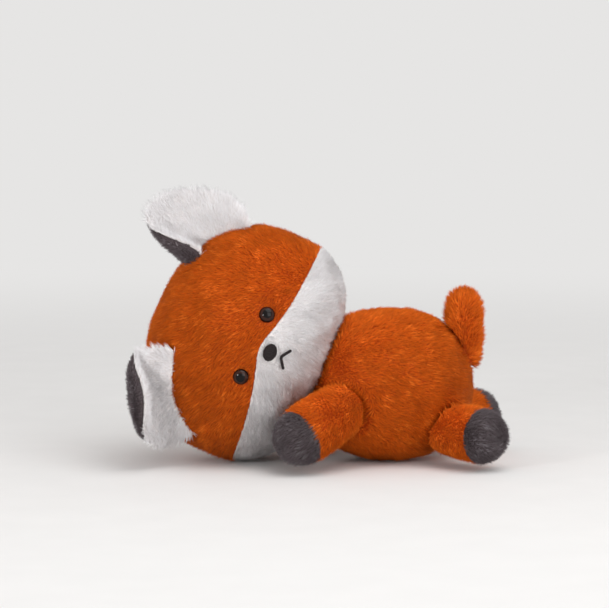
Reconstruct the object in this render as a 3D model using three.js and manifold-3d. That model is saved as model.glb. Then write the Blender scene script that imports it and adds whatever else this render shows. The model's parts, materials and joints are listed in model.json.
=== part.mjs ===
// A plush fox that lies on its belly with its head laid on one cheek and its face turned to the side.
// Sewn covers of orange, white and grey pile hold the stuffing. Safety eyes clip through the head's
// cover into washers, and the nose and mouth are embroidered. The head, limbs, tail and ears each
// turn a little at the seam that holds them.
// Millimetres, +Z up. +X runs from the head to the tail, and the face looks along -Y.
// The origin is on the ground under the middle of the toy.
import * as THREE from "three";
import { mergeVertices } from "three/addons/utils/BufferGeometryUtils.js";
import Module from "manifold-3d";

const wasm = await Module();
wasm.setup();
const degrees = THREE.MathUtils.degToRad;

// Cloth and seams
const pileHeight = 5;
const backingThickness = 1.2;
const coverThickness = pileHeight + backingThickness;
const seamGap = 0.3;
const restFlat = 0.5;
const cutOverrun = 20;
const weldDistance = 0.001;

// Head, from its widest level up to the crown and down to the chin
const headWidth = 149;
const headDepth = 116;
const crownHeight = 59;
const chinDrop = 55;
const crownRoundness = 2.12;
const chinRoundness = 3;
const headTilt = degrees(22.8);
const headLookUp = degrees(6);
const neckTurn = [-12, 12];

// Torso, from its widest level to the rump and to the neck
const torsoHeight = 97;
const torsoWidth = 92;
const rumpReach = 50;
const neckReach = 59;
const rumpRoundness = 2.1;
const neckRoundness = 2.4;
const neckOverlap = 15.5;
const neckRadius = 14;

// White muzzle panel: its top seam, as shares of half the head's width and of the chin's drop
const muzzleSeamShares = [
  [-1.06, 0.41], [-0.66, 0.38], [-0.4, 0.335], [-0.2, 0.27],
  [0, 0.205], [0.2, 0.27], [0.4, 0.335], [0.66, 0.38], [1.06, 0.41],
];
const muzzleSeamSteps = 20;
const muzzleBackShare = 0.08;

// Face
const eyeSpacing = 42;
const eyeDrop = 7.5;
const eyeRadius = 4.9;
const eyeDome = 3.4;
const eyeRim = 1;
const eyeSink = 3.2;
const eyeStemRadius = 1.4;
const eyeStemGrip = 3;
const washerRadius = 6;
const washerThickness = 1.2;
const noseWidth = 10.8;
const noseHeight = 7.9;
const nosePad = 4;
const noseDrop = 18.2;
const noseSink = 3;
const mouthDrop = 25.5;
const mouthLegDrop = 4.1;
const mouthLegSpread = 6.2;
const threadRadius = 0.9;
const threadSink = 0.3;

// Ears: a leaf of two panels, sewn on along the head's upper corner and highest towards the crown.
// The left one's inner edge rolls forward, most at the root, so that the grey back shows there. The
// right one lies under the head, and its end is bent over forward
const earWidth = 61;
const earInnerShare = 1.25;
const earLength = 40;
const earRakeShare = 0.27;
const earRoot = 30;
const earThickness = 11;
const earAcross = 49;
const earSlantShare = 0.07;
const earCurlSharpness = 3.2;
const earSetbackShare = 0.15;
const earBendSharpness = 1.2;
const leftEarForward = 3;
const rightEarForward = 33;
const leftEar = {
  side: 1, forward: leftEarForward, turn: 0, fold: degrees(11), twist: degrees(12),
  rootCurl: degrees(260), tipCurl: degrees(18), bend: 0, lift: [-10, 8],
};
const rightEar = {
  side: -1, forward: rightEarForward, turn: degrees(-5), fold: degrees(5), twist: degrees(20),
  rootCurl: degrees(20), tipCurl: 0, bend: degrees(150), lift: [-25, 4],
};

// Limbs and tail: length from the joint to the tip, greatest radius and its place, root ball
const arm = {
  length: 57, radius: 19.6, girth: 29, rootRadius: 14, rootDrop: 13, capLength: 19,
  rootRoundness: 2.6, tipRoundness: 2.4,
};
const leg = {
  length: 46, radius: 18.4, girth: 26, rootRadius: 14, rootDrop: 14, capLength: 19,
  rootRoundness: 2.6, tipRoundness: 2.3,
};
const tail = {
  length: 41, radius: 12.8, girth: 15, rootRadius: 12, rootDrop: 8,
  rootRoundness: 2.6, tipRoundness: 2.8,
};
const stuffingMouth = 4;

// Joint places on the torso: how far from its widest level towards the neck, above its axis, and
// under its skin
const shoulder = { ahead: 31, above: -9, depth: 4 };
const hip = { ahead: -30, above: -24.5, depth: 4 };
const tailRoot = { ahead: -43, above: 20, aside: 0 };
const armReach = new THREE.Vector3(-0.7, -0.58, -0.4);
const legReach = new THREE.Vector3(0.76, -0.64, -0.06);
const tailReach = new THREE.Vector3(0.06, 0, 1);
const armSweep = [0, 30];
const legSweep = [-15, 15];
const tailWag = [-20, 20];

// Facets
const headFacets = { sides: 26, steps: 14 };
const torsoFacets = { sides: 20, steps: 12 };
const limbFacets = { sides: 12, steps: 7 };
const insideFacets = { sides: 12, steps: 6 };
const hollowFacets = { sides: 8, steps: 5 };
const rootFacets = { sides: 12, steps: 6 };
const pinSides = 10;
const trimSides = 14;
const earFacets = { sides: 20, rings: 5 };
const earSteps = 12;
const eyeDomeSteps = 4;
const sweepStep = 15;

const finishes = {
  orange: { color: 0xb9511c, roughness: 0.95 },
  white: { color: 0xdedadc, roughness: 0.95 },
  grey: { color: 0x4b4247, roughness: 0.95 },
  filling: { color: 0xeeeae4, roughness: 1 },
  eye: { color: 0x2a1510, roughness: 0.12 },
  washer: { color: 0xd9d9d2, roughness: 0.5 },
  thread: { color: 0x2b2022, roughness: 0.8 },
};

// A closed geometry as a solid.
function solidOf(geometry) {
  const bare = geometry.clone();
  bare.deleteAttribute("normal");
  bare.deleteAttribute("uv");
  const welded = mergeVertices(bare, weldDistance);
  return new wasm.Manifold(
    new wasm.Mesh({
      numProp: 3,
      vertProperties: welded.attributes.position.array,
      triVerts: new Uint32Array(welded.index.array),
    }),
  );
}

// A solid as a geometry.
function geometryOf(solid) {
  const mesh = solid.getMesh();
  const geometry = new THREE.BufferGeometry();
  geometry.setAttribute("position", new THREE.BufferAttribute(mesh.vertProperties, mesh.numProp));
  geometry.setIndex(new THREE.BufferAttribute(mesh.triVerts, 1));
  geometry.computeVertexNormals();
  return geometry;
}

const placed = (solid, matrix) => solid.transform(matrix.elements);
const union = (solids) => solids.reduce((joined, next) => joined.add(next));

// The largest body of a solid, without the slivers that a slanting cut can leave.
const mainBody = (solid) => solid.decompose().reduce((a, b) => (a.volume() > b.volume() ? a : b));

// A frame with its origin, x axis and y axis in the frame that carries it.
function frameAt(origin, xAxis, yAxis) {
  const x = xAxis.clone().normalize();
  const z = x.clone().cross(yAxis).normalize();
  const y = z.clone().cross(x);
  return new THREE.Matrix4().makeBasis(x, y, z).setPosition(origin);
}

// The angles, in degrees, at which a joint's travel is sampled.
function anglesOf([least, most]) {
  const count = Math.max(2, Math.ceil((most - least) / sweepStep));
  return Array.from({ length: count + 1 }, (_, i) => least + ((most - least) * i) / count);
}

// All that a solid covers as it turns about an axis through a point.
function swept(solid, travel, axis, about) {
  const away = new THREE.Matrix4().makeTranslation(about.clone().negate());
  const back = new THREE.Matrix4().makeTranslation(about);
  const turned = anglesOf(travel).map((angle) => {
    const turn = new THREE.Matrix4().makeRotationAxis(axis, degrees(angle));
    return placed(solid, back.clone().multiply(turn).multiply(away));
  });
  return union(turned);
}

// Half outline of a stuffed form, from its low pole through its widest level to its high pole.
function swellingOutline(radius, low, high, steps) {
  return Array.from({ length: steps + 1 }, (_, i) => {
    const angle = (i / steps - 0.5) * Math.PI;
    const end = angle < 0 ? low : high;
    const out = i % steps === 0 ? 0 : radius * Math.cos(angle) ** (2 / end.roundness);
    const along = Math.sign(angle) * end.reach * Math.abs(Math.sin(angle)) ** (2 / end.roundness);
    return new THREE.Vector2(out, along);
  });
}

// A stuffed form about the y axis, its skin moved out by growth.
function stuffedForm(shape, facets, growth) {
  const radius = shape.radius + growth;
  const low = { reach: shape.low.reach + growth, roundness: shape.low.roundness };
  const high = { reach: shape.high.reach + growth, roundness: shape.high.roundness };
  const geometry = new THREE.LatheGeometry(swellingOutline(radius, low, high, facets.steps), facets.sides);
  geometry.scale(1, 1, (shape.depthRadius + growth) / radius);
  return solidOf(geometry);
}

// A ball with its poles on an axis, so that it turns about that axis in a socket of the same facets.
function ball(radius, axis) {
  const end = { reach: radius, roundness: 2 };
  const turn = new THREE.Quaternion().setFromUnitVectors(new THREE.Vector3(0, 1, 0), axis);
  const round = stuffedForm({ radius, depthRadius: radius, low: end, high: end }, rootFacets, 0);
  return placed(round, new THREE.Matrix4().makeRotationFromQuaternion(turn));
}

// The least radius at which a faceted round part turns freely in a faceted bore or socket.
const turningRadius = (radius, sides) => (radius + seamGap) / Math.cos(Math.PI / sides);

// A round rod along y between two levels.
function rod(radius, from, to, sides) {
  const geometry = new THREE.CylinderGeometry(radius, radius, to - from, sides);
  geometry.translate(0, (from + to) / 2, 0);
  return solidOf(geometry);
}

// Head, in its own frame: x to its left, y to the crown, z to the face
const headShape = {
  radius: headWidth / 2,
  depthRadius: headDepth / 2,
  low: { reach: chinDrop, roundness: chinRoundness },
  high: { reach: crownHeight, roundness: crownRoundness },
};
const headForm = (growth) => stuffedForm(headShape, growth < -pileHeight ? insideFacets : headFacets, growth);
const headLean = new THREE.Matrix4()
  .makeRotationX(-headLookUp)
  .multiply(
    new THREE.Matrix4().makeBasis(
      new THREE.Vector3(Math.sin(headTilt), 0, Math.cos(headTilt)),
      new THREE.Vector3(-Math.cos(headTilt), 0, Math.sin(headTilt)),
      new THREE.Vector3(0, -1, 0),
    ),
  );
const headRise = -placed(headForm(0), headLean).boundingBox().min[2] - restFlat;
const headFrame = headLean.clone().setPosition(0, 0, headRise);
const chin = new THREE.Vector3(0, -chinDrop, 0);
const neckPlace = chin.clone().applyMatrix4(headFrame);
const neckAxis = new THREE.Vector3(0, 1, 0).transformDirection(headFrame);

// Torso, in its own frame: y to the neck, z to the back, x to its right
const torsoShape = {
  radius: torsoWidth / 2,
  depthRadius: torsoHeight / 2,
  low: { reach: rumpReach, roundness: rumpRoundness },
  high: { reach: neckReach, roundness: neckRoundness },
};
const torsoForm = (growth) => stuffedForm(torsoShape, growth < -pileHeight ? insideFacets : torsoFacets, growth);
const torsoFrame = frameAt(
  new THREE.Vector3(neckPlace.x + neckReach - neckOverlap, 0, torsoHeight / 2 - restFlat),
  new THREE.Vector3(0, 1, 0),
  new THREE.Vector3(-1, 0, 0),
);

// The ground, in the frame that the matrix stands for.
function groundIn(frame) {
  const side = headWidth * 4;
  const geometry = new THREE.BoxGeometry(side, side, side);
  geometry.translate(0, 0, -side / 2);
  return placed(solidOf(geometry), frame.clone().invert());
}

// A solid in one frame as seen from another.
const seenFrom = (frame, solid, ownFrame) => placed(solid, frame.clone().invert().multiply(ownFrame));

// Where the head's skin lies in front of a point of the face, and the way out of it.
function headSkin(x, y) {
  const end = y < 0 ? headShape.low : headShape.high;
  const share = (1 - Math.abs(y / end.reach) ** end.roundness) ** (1 / end.roundness);
  const z = headShape.depthRadius * Math.sqrt(share ** 2 - (x / headShape.radius) ** 2);
  return new THREE.Vector3(x, y, z);
}
function headNormal(x, y) {
  const across = headSkin(x + seamGap, y).sub(headSkin(x - seamGap, y));
  const up = headSkin(x, y + seamGap).sub(headSkin(x, y - seamGap));
  return across.cross(up).normalize();
}
// A frame on the head's skin whose y axis points out of it.
function headSeat(x, y) {
  const out = headNormal(x, y);
  return frameAt(headSkin(x, y), new THREE.Vector3(1, 0, 0).projectOnPlane(out), out);
}

// Everything that the head covers as it turns on the neck, in the torso's frame.
const headInTorso = (growth) =>
  seenFrom(
    torsoFrame,
    swept(placed(headForm(growth), headFrame), neckTurn, neckAxis, neckPlace),
    new THREE.Matrix4(),
  );

// The block that holds the white panel: in front of the gusset and below the seam, both moved by raise.
function muzzleBlock(raise) {
  const seam = new THREE.SplineCurve(
    muzzleSeamShares.map(
      ([across, drop]) => new THREE.Vector2((across * headWidth) / 2, raise - drop * chinDrop),
    ),
  ).getPoints(muzzleSeamSteps);
  const low = -chinDrop - cutOverrun;
  const outline = new THREE.Shape([
    new THREE.Vector2(seam[0].x, low),
    new THREE.Vector2(seam.at(-1).x, low),
    ...seam.reverse(),
  ]);
  const back = -muzzleBackShare * headDepth - raise;
  const geometry = new THREE.ExtrudeGeometry(outline, {
    depth: headDepth / 2 + cutOverrun - back,
    bevelEnabled: false,
  });
  geometry.translate(0, 0, back);
  return solidOf(geometry);
}

// A safety eye about the y axis, its rim's underside at zero, grown by a clearance.
const eyeStemLength = coverThickness - eyeSink + seamGap * 2 + washerThickness + eyeStemGrip;
function eyeSolid(clearance) {
  const radius = eyeRadius + clearance;
  const stem = eyeStemRadius + clearance;
  const dome = Array.from({ length: eyeDomeSteps + 1 }, (_, i) => {
    const angle = (i / eyeDomeSteps) * (Math.PI / 2);
    return new THREE.Vector2(radius * Math.cos(angle), eyeRim + (eyeDome + clearance) * Math.sin(angle));
  });
  dome.at(-1).x = 0;
  const profile = [
    new THREE.Vector2(0, -eyeStemLength - clearance),
    new THREE.Vector2(stem, -eyeStemLength - clearance),
    new THREE.Vector2(stem, -clearance),
    new THREE.Vector2(radius, -clearance),
    ...dome,
  ];
  return solidOf(new THREE.LatheGeometry(profile, trimSides));
}
function eyeSeat(side) {
  return headSeat((side * eyeSpacing) / 2, -eyeDrop).multiply(
    new THREE.Matrix4().makeTranslation(0, -eyeSink, 0),
  );
}
const washerTop = eyeSink - coverThickness - seamGap - washerRadius ** 2 / headDepth;
const washerBack = washerTop - washerThickness;
const eyeWasher = rod(washerRadius, washerBack, washerTop, trimSides).subtract(
  rod(eyeStemRadius + seamGap, washerBack - cutOverrun, washerTop + cutOverrun, pinSides),
);
// The space for a washer, flat against the inside of the cloth and open to the head's hollow.
const washerSpace = rod(
  washerRadius + seamGap,
  washerBack - cutOverrun,
  washerTop + seamGap,
  trimSides,
);

// The nose: a padded oval of embroidery on the muzzle.
function noseSolid(clearance) {
  const half = noseHeight / 2 + clearance;
  const geometry = new THREE.SphereGeometry(half, trimSides, 8);
  geometry.scale(
    (noseWidth / 2 + clearance) / half,
    1,
    (nosePad / 2 + clearance) / half,
  );
  const seat = headSkin(0, -noseDrop);
  geometry.translate(0, 0, nosePad / 2 - noseSink);
  const out = headNormal(0, -noseDrop);
  const frame = new THREE.Matrix4().makeBasis(
    new THREE.Vector3(1, 0, 0),
    out.clone().cross(new THREE.Vector3(1, 0, 0)),
    out,
  );
  return placed(solidOf(geometry), frame.setPosition(seat));
}

// The mouth: two thread strokes that meet under the nose.
function mouthSolid(clearance) {
  const at = (x, y) => headSkin(x, y).addScaledVector(headNormal(x, y), -threadSink);
  const top = at(0, -mouthDrop);
  const strokes = [-1, 1].map((side) => {
    const end = at(side * mouthLegSpread, -mouthDrop - mouthLegDrop);
    const along = end.clone().sub(top);
    const geometry = new THREE.CapsuleGeometry(threadRadius + clearance, along.length(), 2, pinSides - 2);
    geometry.translate(0, along.length() / 2, 0);
    return placed(solidOf(geometry), frameAt(top, new THREE.Vector3(0, 0, 1).cross(along), along));
  });
  return union(strokes);
}

// The neck's stuffing: a plug about the head's own axis through both covers.
const neckPlugTop = coverThickness - chinDrop;
const neckPlugBottom = -coverThickness - 2 * seamGap - chinDrop;
const neckPlug = rod(neckRadius, neckPlugBottom, neckPlugTop, trimSides);
const neckBore = rod(
  turningRadius(neckRadius, trimSides),
  neckPlugBottom - seamGap,
  neckPlugTop + seamGap,
  trimSides,
);

// Everything fitted into the face, in the head's frame.
const facePockets = union([
  ...[-1, 1].map((side) => placed(eyeSolid(seamGap).add(washerSpace), eyeSeat(side))),
  noseSolid(seamGap),
  mouthSolid(seamGap),
]);
const headGround = groundIn(headFrame);
const headShell = headForm(0)
  .subtract(headForm(-coverThickness))
  .subtract(headGround)
  .subtract(facePockets)
  .subtract(neckBore);
const crownCover = headShell.subtract(muzzleBlock(seamGap));
const muzzleCover = headShell.intersect(muzzleBlock(0));
const washerPocket = rod(
  washerRadius + seamGap,
  washerBack - seamGap,
  washerTop + cutOverrun,
  trimSides,
).add(eyeSolid(seamGap));
const headStuffing = [-1, 1].reduce(
  (left, side) => left.subtract(placed(washerPocket, eyeSeat(side))),
  headForm(-coverThickness - seamGap),
);

// Where the head's skin lies above a point of its middle planes.
function headTop(x, z) {
  const out = Math.hypot(x, (z * headShape.radius) / headShape.depthRadius) / headShape.radius;
  const { reach, roundness } = headShape.high;
  return new THREE.Vector3(x, reach * (1 - out ** roundness) ** (1 / roundness), z);
}

// An ear's frame on the head: x along its root to the fox's left, y out along the leaf and z out of
// the cup. The turn swings its root line and the fold turns the leaf forward about the root.
function earFrame({ side, forward, turn, fold }) {
  const across = side * earAcross;
  const ahead = new THREE.Vector3(0, 0, 1);
  const root = headTop(across + seamGap, forward).sub(headTop(across - seamGap, forward));
  root.normalize().applyAxisAngle(ahead, side * turn);
  const out = ahead.cross(root).normalize().applyAxisAngle(root, fold);
  return frameAt(headTop(across, forward), root, out);
}

// One panel of an ear before it is trimmed: half of a lens, spread into a leaf and curled.
// face is 1 for the front panel and -1 for the back one.
function earPanel(face, ear) {
  const half = earThickness / 2;
  const rim = Array.from({ length: earFacets.rings + 1 }, (_, i) => Math.sin((i / earFacets.rings) * (Math.PI / 2)));
  const profile = [
    ...rim.map((r) => new THREE.Vector2(r, seamGap / 2)),
    ...rim
      .slice(0, -1)
      .reverse()
      .map((r) => new THREE.Vector2(r, seamGap / 2 + (half - seamGap / 2) * (1 - r ** 3) ** (1 / 3))),
  ];
  const geometry = new THREE.LatheGeometry(profile, earFacets.sides);
  if (face * ear.side > 0) geometry.index.array.reverse();
  const places = geometry.attributes.position;
  const middle = (earLength - earRoot) / 2;
  for (let i = 0; i < places.count; i += 1) {
    const up = middle + (places.getZ(i) * (earLength + earRoot)) / 2;
    const share = places.getX(i);
    const curl = THREE.MathUtils.lerp(ear.rootCurl, ear.tipCurl, Math.max(0, up / earLength));
    const section = earSection(share, ear.twist, curl);
    const thick = face * places.getY(i);
    const out = section.y + thick * section.normal.y;
    const bent = earBend(up > 0 ? up * (1 - earRakeShare * share) : up, ear.bend);
    places.setXYZ(
      i,
      ear.side * (section.x + thick * section.normal.x - earSlantShare * up),
      bent.y - out * Math.sin(bent.angle),
      bent.z + out * Math.cos(bent.angle),
    );
  }
  return solidOf(geometry);
}

// A point of the ear's curled section and the way out of the cup there. share runs from -1 at the
// inner edge to 1 at the outer edge, and the section turns about its middle.
function earSection(share, twist, curl) {
  const heading = (at) => twist + curl * (((1 - at) / 2) ** earCurlSharpness - earSetbackShare);
  const step = share / earSteps;
  const reach = (earWidth / 2) * (share < 0 ? earInnerShare : 1) * step;
  const place = { x: 0, y: 0 };
  for (let i = 0; i < earSteps; i += 1) {
    const angle = heading((i + 0.5) * step);
    place.x += Math.cos(angle) * reach;
    place.y -= Math.sin(angle) * reach;
  }
  const angle = heading(share);
  return { ...place, normal: { x: Math.sin(angle), y: Math.cos(angle) } };
}

// Where a leaf that bends over forward is at a height along it, and how far it has turned there.
function earBend(up, bend) {
  const turned = (at) => bend * Math.max(0, at / earLength) ** earBendSharpness;
  const place = { y: 0, z: 0 };
  for (let i = 0; i < earSteps; i += 1) {
    const angle = turned((up * (i + 0.5)) / earSteps);
    place.y += (Math.cos(angle) * up) / earSteps;
    place.z += (Math.sin(angle) * up) / earSteps;
  }
  return { ...place, angle: turned(up) };
}

function earPieces(ear) {
  const frame = earFrame(ear);
  const keepOut = swept(
    seenFrom(frame, headForm(seamGap), new THREE.Matrix4()),
    ear.lift.map((angle) => -angle).reverse(),
    new THREE.Vector3(1, 0, 0),
    new THREE.Vector3(),
  );
  const ground = groundIn(headFrame.clone().multiply(frame));
  const trimmed = (face) => mainBody(earPanel(face, ear).subtract(keepOut).subtract(ground));
  return { frame, front: trimmed(1), back: trimmed(-1) };
}

// How far out along the reach the torso's skin is from its axis at a level, in its own frame.
function torsoSkinAside(ahead, above) {
  const end = ahead < 0 ? torsoShape.low : torsoShape.high;
  const share = (1 - Math.abs(ahead / end.reach) ** end.roundness) ** (1 / end.roundness);
  return torsoShape.radius * Math.sqrt(share ** 2 - (above / torsoShape.depthRadius) ** 2);
}

// A limb's frame in the toy's frame: y runs from the joint to the tip. side is -1 for the fox's left.
function limbFrame(place, reach, side) {
  const aside = torsoSkinAside(place.ahead, place.above) - place.depth;
  const joint = new THREE.Vector3(side * aside, place.ahead, place.above).applyMatrix4(torsoFrame);
  const along = reach.clone();
  along.y *= -side;
  return frameAt(joint, new THREE.Vector3(0, 0, 1).cross(along), along);
}

// The pieces of a limb or tail, in its own frame. keepOut gives, for a growth, the solids in the
// toy's frame that the limb stays clear of, and the travel turns it about a toy axis at its joint.
function limbPieces(size, frame, travel, axis, keepOut) {
  const joint = new THREE.Vector3().setFromMatrixPosition(frame);
  const ownAxis = axis.clone().transformDirection(frame.clone().invert());
  const against = travel.map((angle) => -angle).reverse();
  const shape = {
    radius: size.radius,
    depthRadius: size.radius,
    low: { reach: size.girth + size.rootDrop, roundness: size.rootRoundness },
    high: { reach: size.length - size.girth, roundness: size.tipRoundness },
  };
  const form = (growth) => {
    const facets = growth < 0 ? hollowFacets : limbFacets;
    const body = stuffedForm(shape, facets, growth).translate([0, size.girth, 0]);
    const root = ball(size.rootRadius + growth, ownAxis);
    const clear = keepOut(seamGap - growth).map((solid) => {
      const own = swept(solid, against, axis, joint);
      return seenFrom(frame, own, new THREE.Matrix4()).subtract(root);
    });
    return clear.reduce((left, solid) => left.subtract(solid), body.add(root));
  };
  const mouth = rod(stuffingMouth, -size.rootRadius - cutOverrun, size.girth, pinSides);
  const hollow = mainBody(form(-coverThickness).add(mouth));
  const cover = mainBody(form(0).subtract(hollow).subtract(groundIn(frame)));
  const core = rod(stuffingMouth - seamGap, 0, size.girth, pinSides);
  const stuffing = mainBody(form(-coverThickness - seamGap).add(core));
  return { frame, cover, stuffing };
}

// A cover split square to the limb into a sleeve and the cap over its end.
function splitCover(cover, level) {
  const side = headWidth;
  const slab = (from) => {
    const geometry = new THREE.BoxGeometry(side, side, side);
    geometry.translate(0, from + side / 2, 0);
    return solidOf(geometry);
  };
  return { sleeve: cover.subtract(slab(level - seamGap)), cap: cover.intersect(slab(level)) };
}

// What a limb keeps clear of, in the toy's frame.
const torsoKeepOut = (growth) => placed(torsoForm(growth), torsoFrame);
const headKeepOut = (growth) =>
  swept(placed(headForm(growth), headFrame), neckTurn, neckAxis, neckPlace);

const upward = new THREE.Vector3(0, 0, 1);
const limbs = [-1, 1].map((side) => {
  const name = side < 0 ? "left" : "right";
  const sweepAxis = upward.clone().multiplyScalar(-side);
  const armFrame = limbFrame(shoulder, armReach, side);
  const legFrame = limbFrame(hip, legReach, side);
  const armParts = limbPieces(arm, armFrame, armSweep, sweepAxis, (growth) => [
    torsoKeepOut(growth),
    headKeepOut(growth),
  ]);
  const legParts = limbPieces(leg, legFrame, legSweep, sweepAxis, (growth) => [torsoKeepOut(growth)]);
  return { name, sweepAxis, armParts, legParts };
});
const tailJoint = new THREE.Vector3(tailRoot.aside, tailRoot.ahead, tailRoot.above).applyMatrix4(torsoFrame);
const tailFrame = frameAt(tailJoint, new THREE.Vector3(1, 0, 0), tailReach);
const tailAxis = new THREE.Vector3(1, 0, 0);
const tailParts = limbPieces(tail, tailFrame, tailWag, tailAxis, (growth) => [torsoKeepOut(growth)]);

// Sockets that the limbs' root balls sit in, in the torso's frame.
const sockets = [
  ...limbs.flatMap(({ sweepAxis, armParts, legParts }) => [
    [arm.rootRadius, armParts.frame, sweepAxis],
    [leg.rootRadius, legParts.frame, sweepAxis],
  ]),
  [tail.rootRadius, tailFrame, tailAxis],
].map(([radius, frame, axis]) => {
  const ownAxis = axis.clone().transformDirection(frame.clone().invert());
  const round = ball(turningRadius(radius, rootFacets.sides), ownAxis);
  return seenFrom(torsoFrame, round, frame);
});
const torsoHollow = torsoForm(-coverThickness).subtract(headInTorso(coverThickness + seamGap));
const torsoCover = sockets.reduce(
  (left, socket) => left.subtract(socket),
  torsoForm(0)
    .subtract(headInTorso(seamGap))
    .subtract(torsoHollow)
    .subtract(seenFrom(torsoFrame, neckBore, headFrame))
    .subtract(groundIn(torsoFrame)),
);
const torsoStuffing = sockets.reduce(
  (left, socket) => left.subtract(socket),
  torsoForm(-coverThickness - seamGap)
    .subtract(headInTorso(coverThickness + 2 * seamGap))
    .subtract(seenFrom(torsoFrame, neckBore, headFrame)),
);

// Scene graph
const toy = new THREE.Group();
toy.name = "plush_fox";

function piece(name, solid, finish, parent) {
  const material = new THREE.MeshStandardMaterial({ metalness: 0, ...finishes[finish] });
  const mesh = new THREE.Mesh(geometryOf(solid), material);
  mesh.name = name;
  parent.add(mesh);
  return mesh;
}

function groupAt(name, frame, parent) {
  const group = new THREE.Group();
  group.name = name;
  frame.decompose(group.position, group.quaternion, group.scale);
  parent.add(group);
  return group;
}

const torso = groupAt("torso", torsoFrame, toy);
piece("torso_cover", torsoCover, "orange", torso);
piece("torso_stuffing", torsoStuffing, "filling", torso);

const head = groupAt("head", headFrame, toy);
piece("head_crown_cover", crownCover, "orange", head);
piece("head_muzzle_cover", muzzleCover, "white", head);
piece("head_stuffing", headStuffing, "filling", head);
piece("neck_stuffing", neckPlug, "filling", head);
piece("nose_embroidery", noseSolid(0), "thread", head);
piece("mouth_stitches", mouthSolid(0), "thread", head);
[["left", 1], ["right", -1]].forEach(([name, side]) => {
  const seat = groupAt(`eye_seat_${name}`, eyeSeat(side), head);
  piece(`eye_${name}`, eyeSolid(0), "eye", seat);
  piece(`eye_washer_${name}`, eyeWasher, "washer", seat);
});
[["left", leftEar], ["right", rightEar]].forEach(([name, ear]) => {
  const { frame, front, back } = earPieces(ear);
  const seat = groupAt(`ear_${name}`, frame, head);
  piece(`ear_${name}_front`, front, "white", seat);
  piece(`ear_${name}_back`, back, "grey", seat);
});

limbs.forEach(({ name, armParts, legParts }) => {
  const armGroup = groupAt(`arm_${name}`, armParts.frame, toy);
  const armCover = splitCover(armParts.cover, arm.length - arm.capLength);
  piece(`arm_${name}_sleeve`, armCover.sleeve, "orange", armGroup);
  piece(`arm_${name}_paw`, armCover.cap, "grey", armGroup);
  piece(`arm_${name}_stuffing`, armParts.stuffing, "filling", armGroup);
  const legGroup = groupAt(`leg_${name}`, legParts.frame, toy);
  const legCover = splitCover(legParts.cover, leg.length - leg.capLength);
  piece(`leg_${name}_sleeve`, legCover.sleeve, "orange", legGroup);
  piece(`leg_${name}_foot`, legCover.cap, "grey", legGroup);
  piece(`leg_${name}_stuffing`, legParts.stuffing, "filling", legGroup);
});
const tailGroup = groupAt("tail", tailFrame, toy);
piece("tail_cover", tailParts.cover, "orange", tailGroup);
piece("tail_stuffing", tailParts.stuffing, "filling", tailGroup);

// The origin goes on the ground under the middle of the toy.
toy.updateMatrixWorld(true);
const extent = new THREE.Box3().setFromObject(toy, true);
const middle = extent.getCenter(new THREE.Vector3());
toy.children.forEach((group) => group.position.sub(new THREE.Vector3(middle.x, middle.y, extent.min.z)));

export default toy;
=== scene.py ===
"""A plush fox that lies on its belly, its head laid on one cheek and its face turned to the side.

Each cover is a thin cloth shell with a pile of fine hairs that lie along the nap. Fibre filling fills
the covers. The eyes are turned plastic domes, and the nose and the mouth are sewn in thread.
Everything is in metres, in the frame of the loaded model.
"""

import json
import logging
import math
from collections.abc import Callable, Iterator, Sequence
from contextlib import contextmanager
from dataclasses import dataclass, replace
from enum import Enum

import bmesh
import bpy
import numpy as np
from mathutils import Matrix, Vector, noise

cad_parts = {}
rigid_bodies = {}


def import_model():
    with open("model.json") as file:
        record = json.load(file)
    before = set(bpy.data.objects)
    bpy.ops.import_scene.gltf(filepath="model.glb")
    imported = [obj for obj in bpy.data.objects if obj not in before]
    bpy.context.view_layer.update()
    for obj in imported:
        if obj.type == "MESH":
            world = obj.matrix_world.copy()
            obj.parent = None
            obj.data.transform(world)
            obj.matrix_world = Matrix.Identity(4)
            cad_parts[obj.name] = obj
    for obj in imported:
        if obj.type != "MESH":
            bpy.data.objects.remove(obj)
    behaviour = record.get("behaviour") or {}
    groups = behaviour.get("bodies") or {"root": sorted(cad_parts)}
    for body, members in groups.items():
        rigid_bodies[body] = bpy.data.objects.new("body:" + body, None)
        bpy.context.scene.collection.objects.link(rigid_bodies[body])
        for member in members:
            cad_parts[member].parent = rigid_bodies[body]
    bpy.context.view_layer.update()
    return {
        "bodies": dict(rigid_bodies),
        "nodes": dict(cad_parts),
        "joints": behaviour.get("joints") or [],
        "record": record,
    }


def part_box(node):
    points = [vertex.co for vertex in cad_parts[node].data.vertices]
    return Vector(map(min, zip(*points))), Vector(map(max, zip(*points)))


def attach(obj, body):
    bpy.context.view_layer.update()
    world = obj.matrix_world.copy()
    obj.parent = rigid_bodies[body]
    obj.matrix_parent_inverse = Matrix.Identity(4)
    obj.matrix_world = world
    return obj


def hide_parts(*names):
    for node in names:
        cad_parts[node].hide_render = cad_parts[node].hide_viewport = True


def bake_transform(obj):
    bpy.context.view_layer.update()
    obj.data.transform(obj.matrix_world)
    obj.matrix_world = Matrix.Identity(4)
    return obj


log = logging.getLogger("plush_fox")

MM = 0.001
DEGREE = math.pi / 180
TOUCHING = 0.01 * MM

# Cloth and pile
PILE_DEPTH = 2.4 * MM
BACKING = 1.2 * MM
REST_PILE = 1.4 * MM
SEWN_PILE = -0.7 * MM
PRESS_START = 0.1 * MM
PRESS_END = 0.8 * MM
SEAM_GAP = 0.3 * MM
HAIR_LENGTH = 5.0 * MM
HAIR_WIDTH = 0.29 * MM
TUFT_WIDTH = 1.2 * MM
TUFT_SPACING = 0.78 * MM
TUFTS_TRIED = 2.2
PILE_MAP = "OFBake"
LUMP_DEPTH = 1.0 * MM
LUMP_SIZE = 26 * MM

# How the head lies
HEAD_LOOK_UP = 6 * DEGREE


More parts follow.
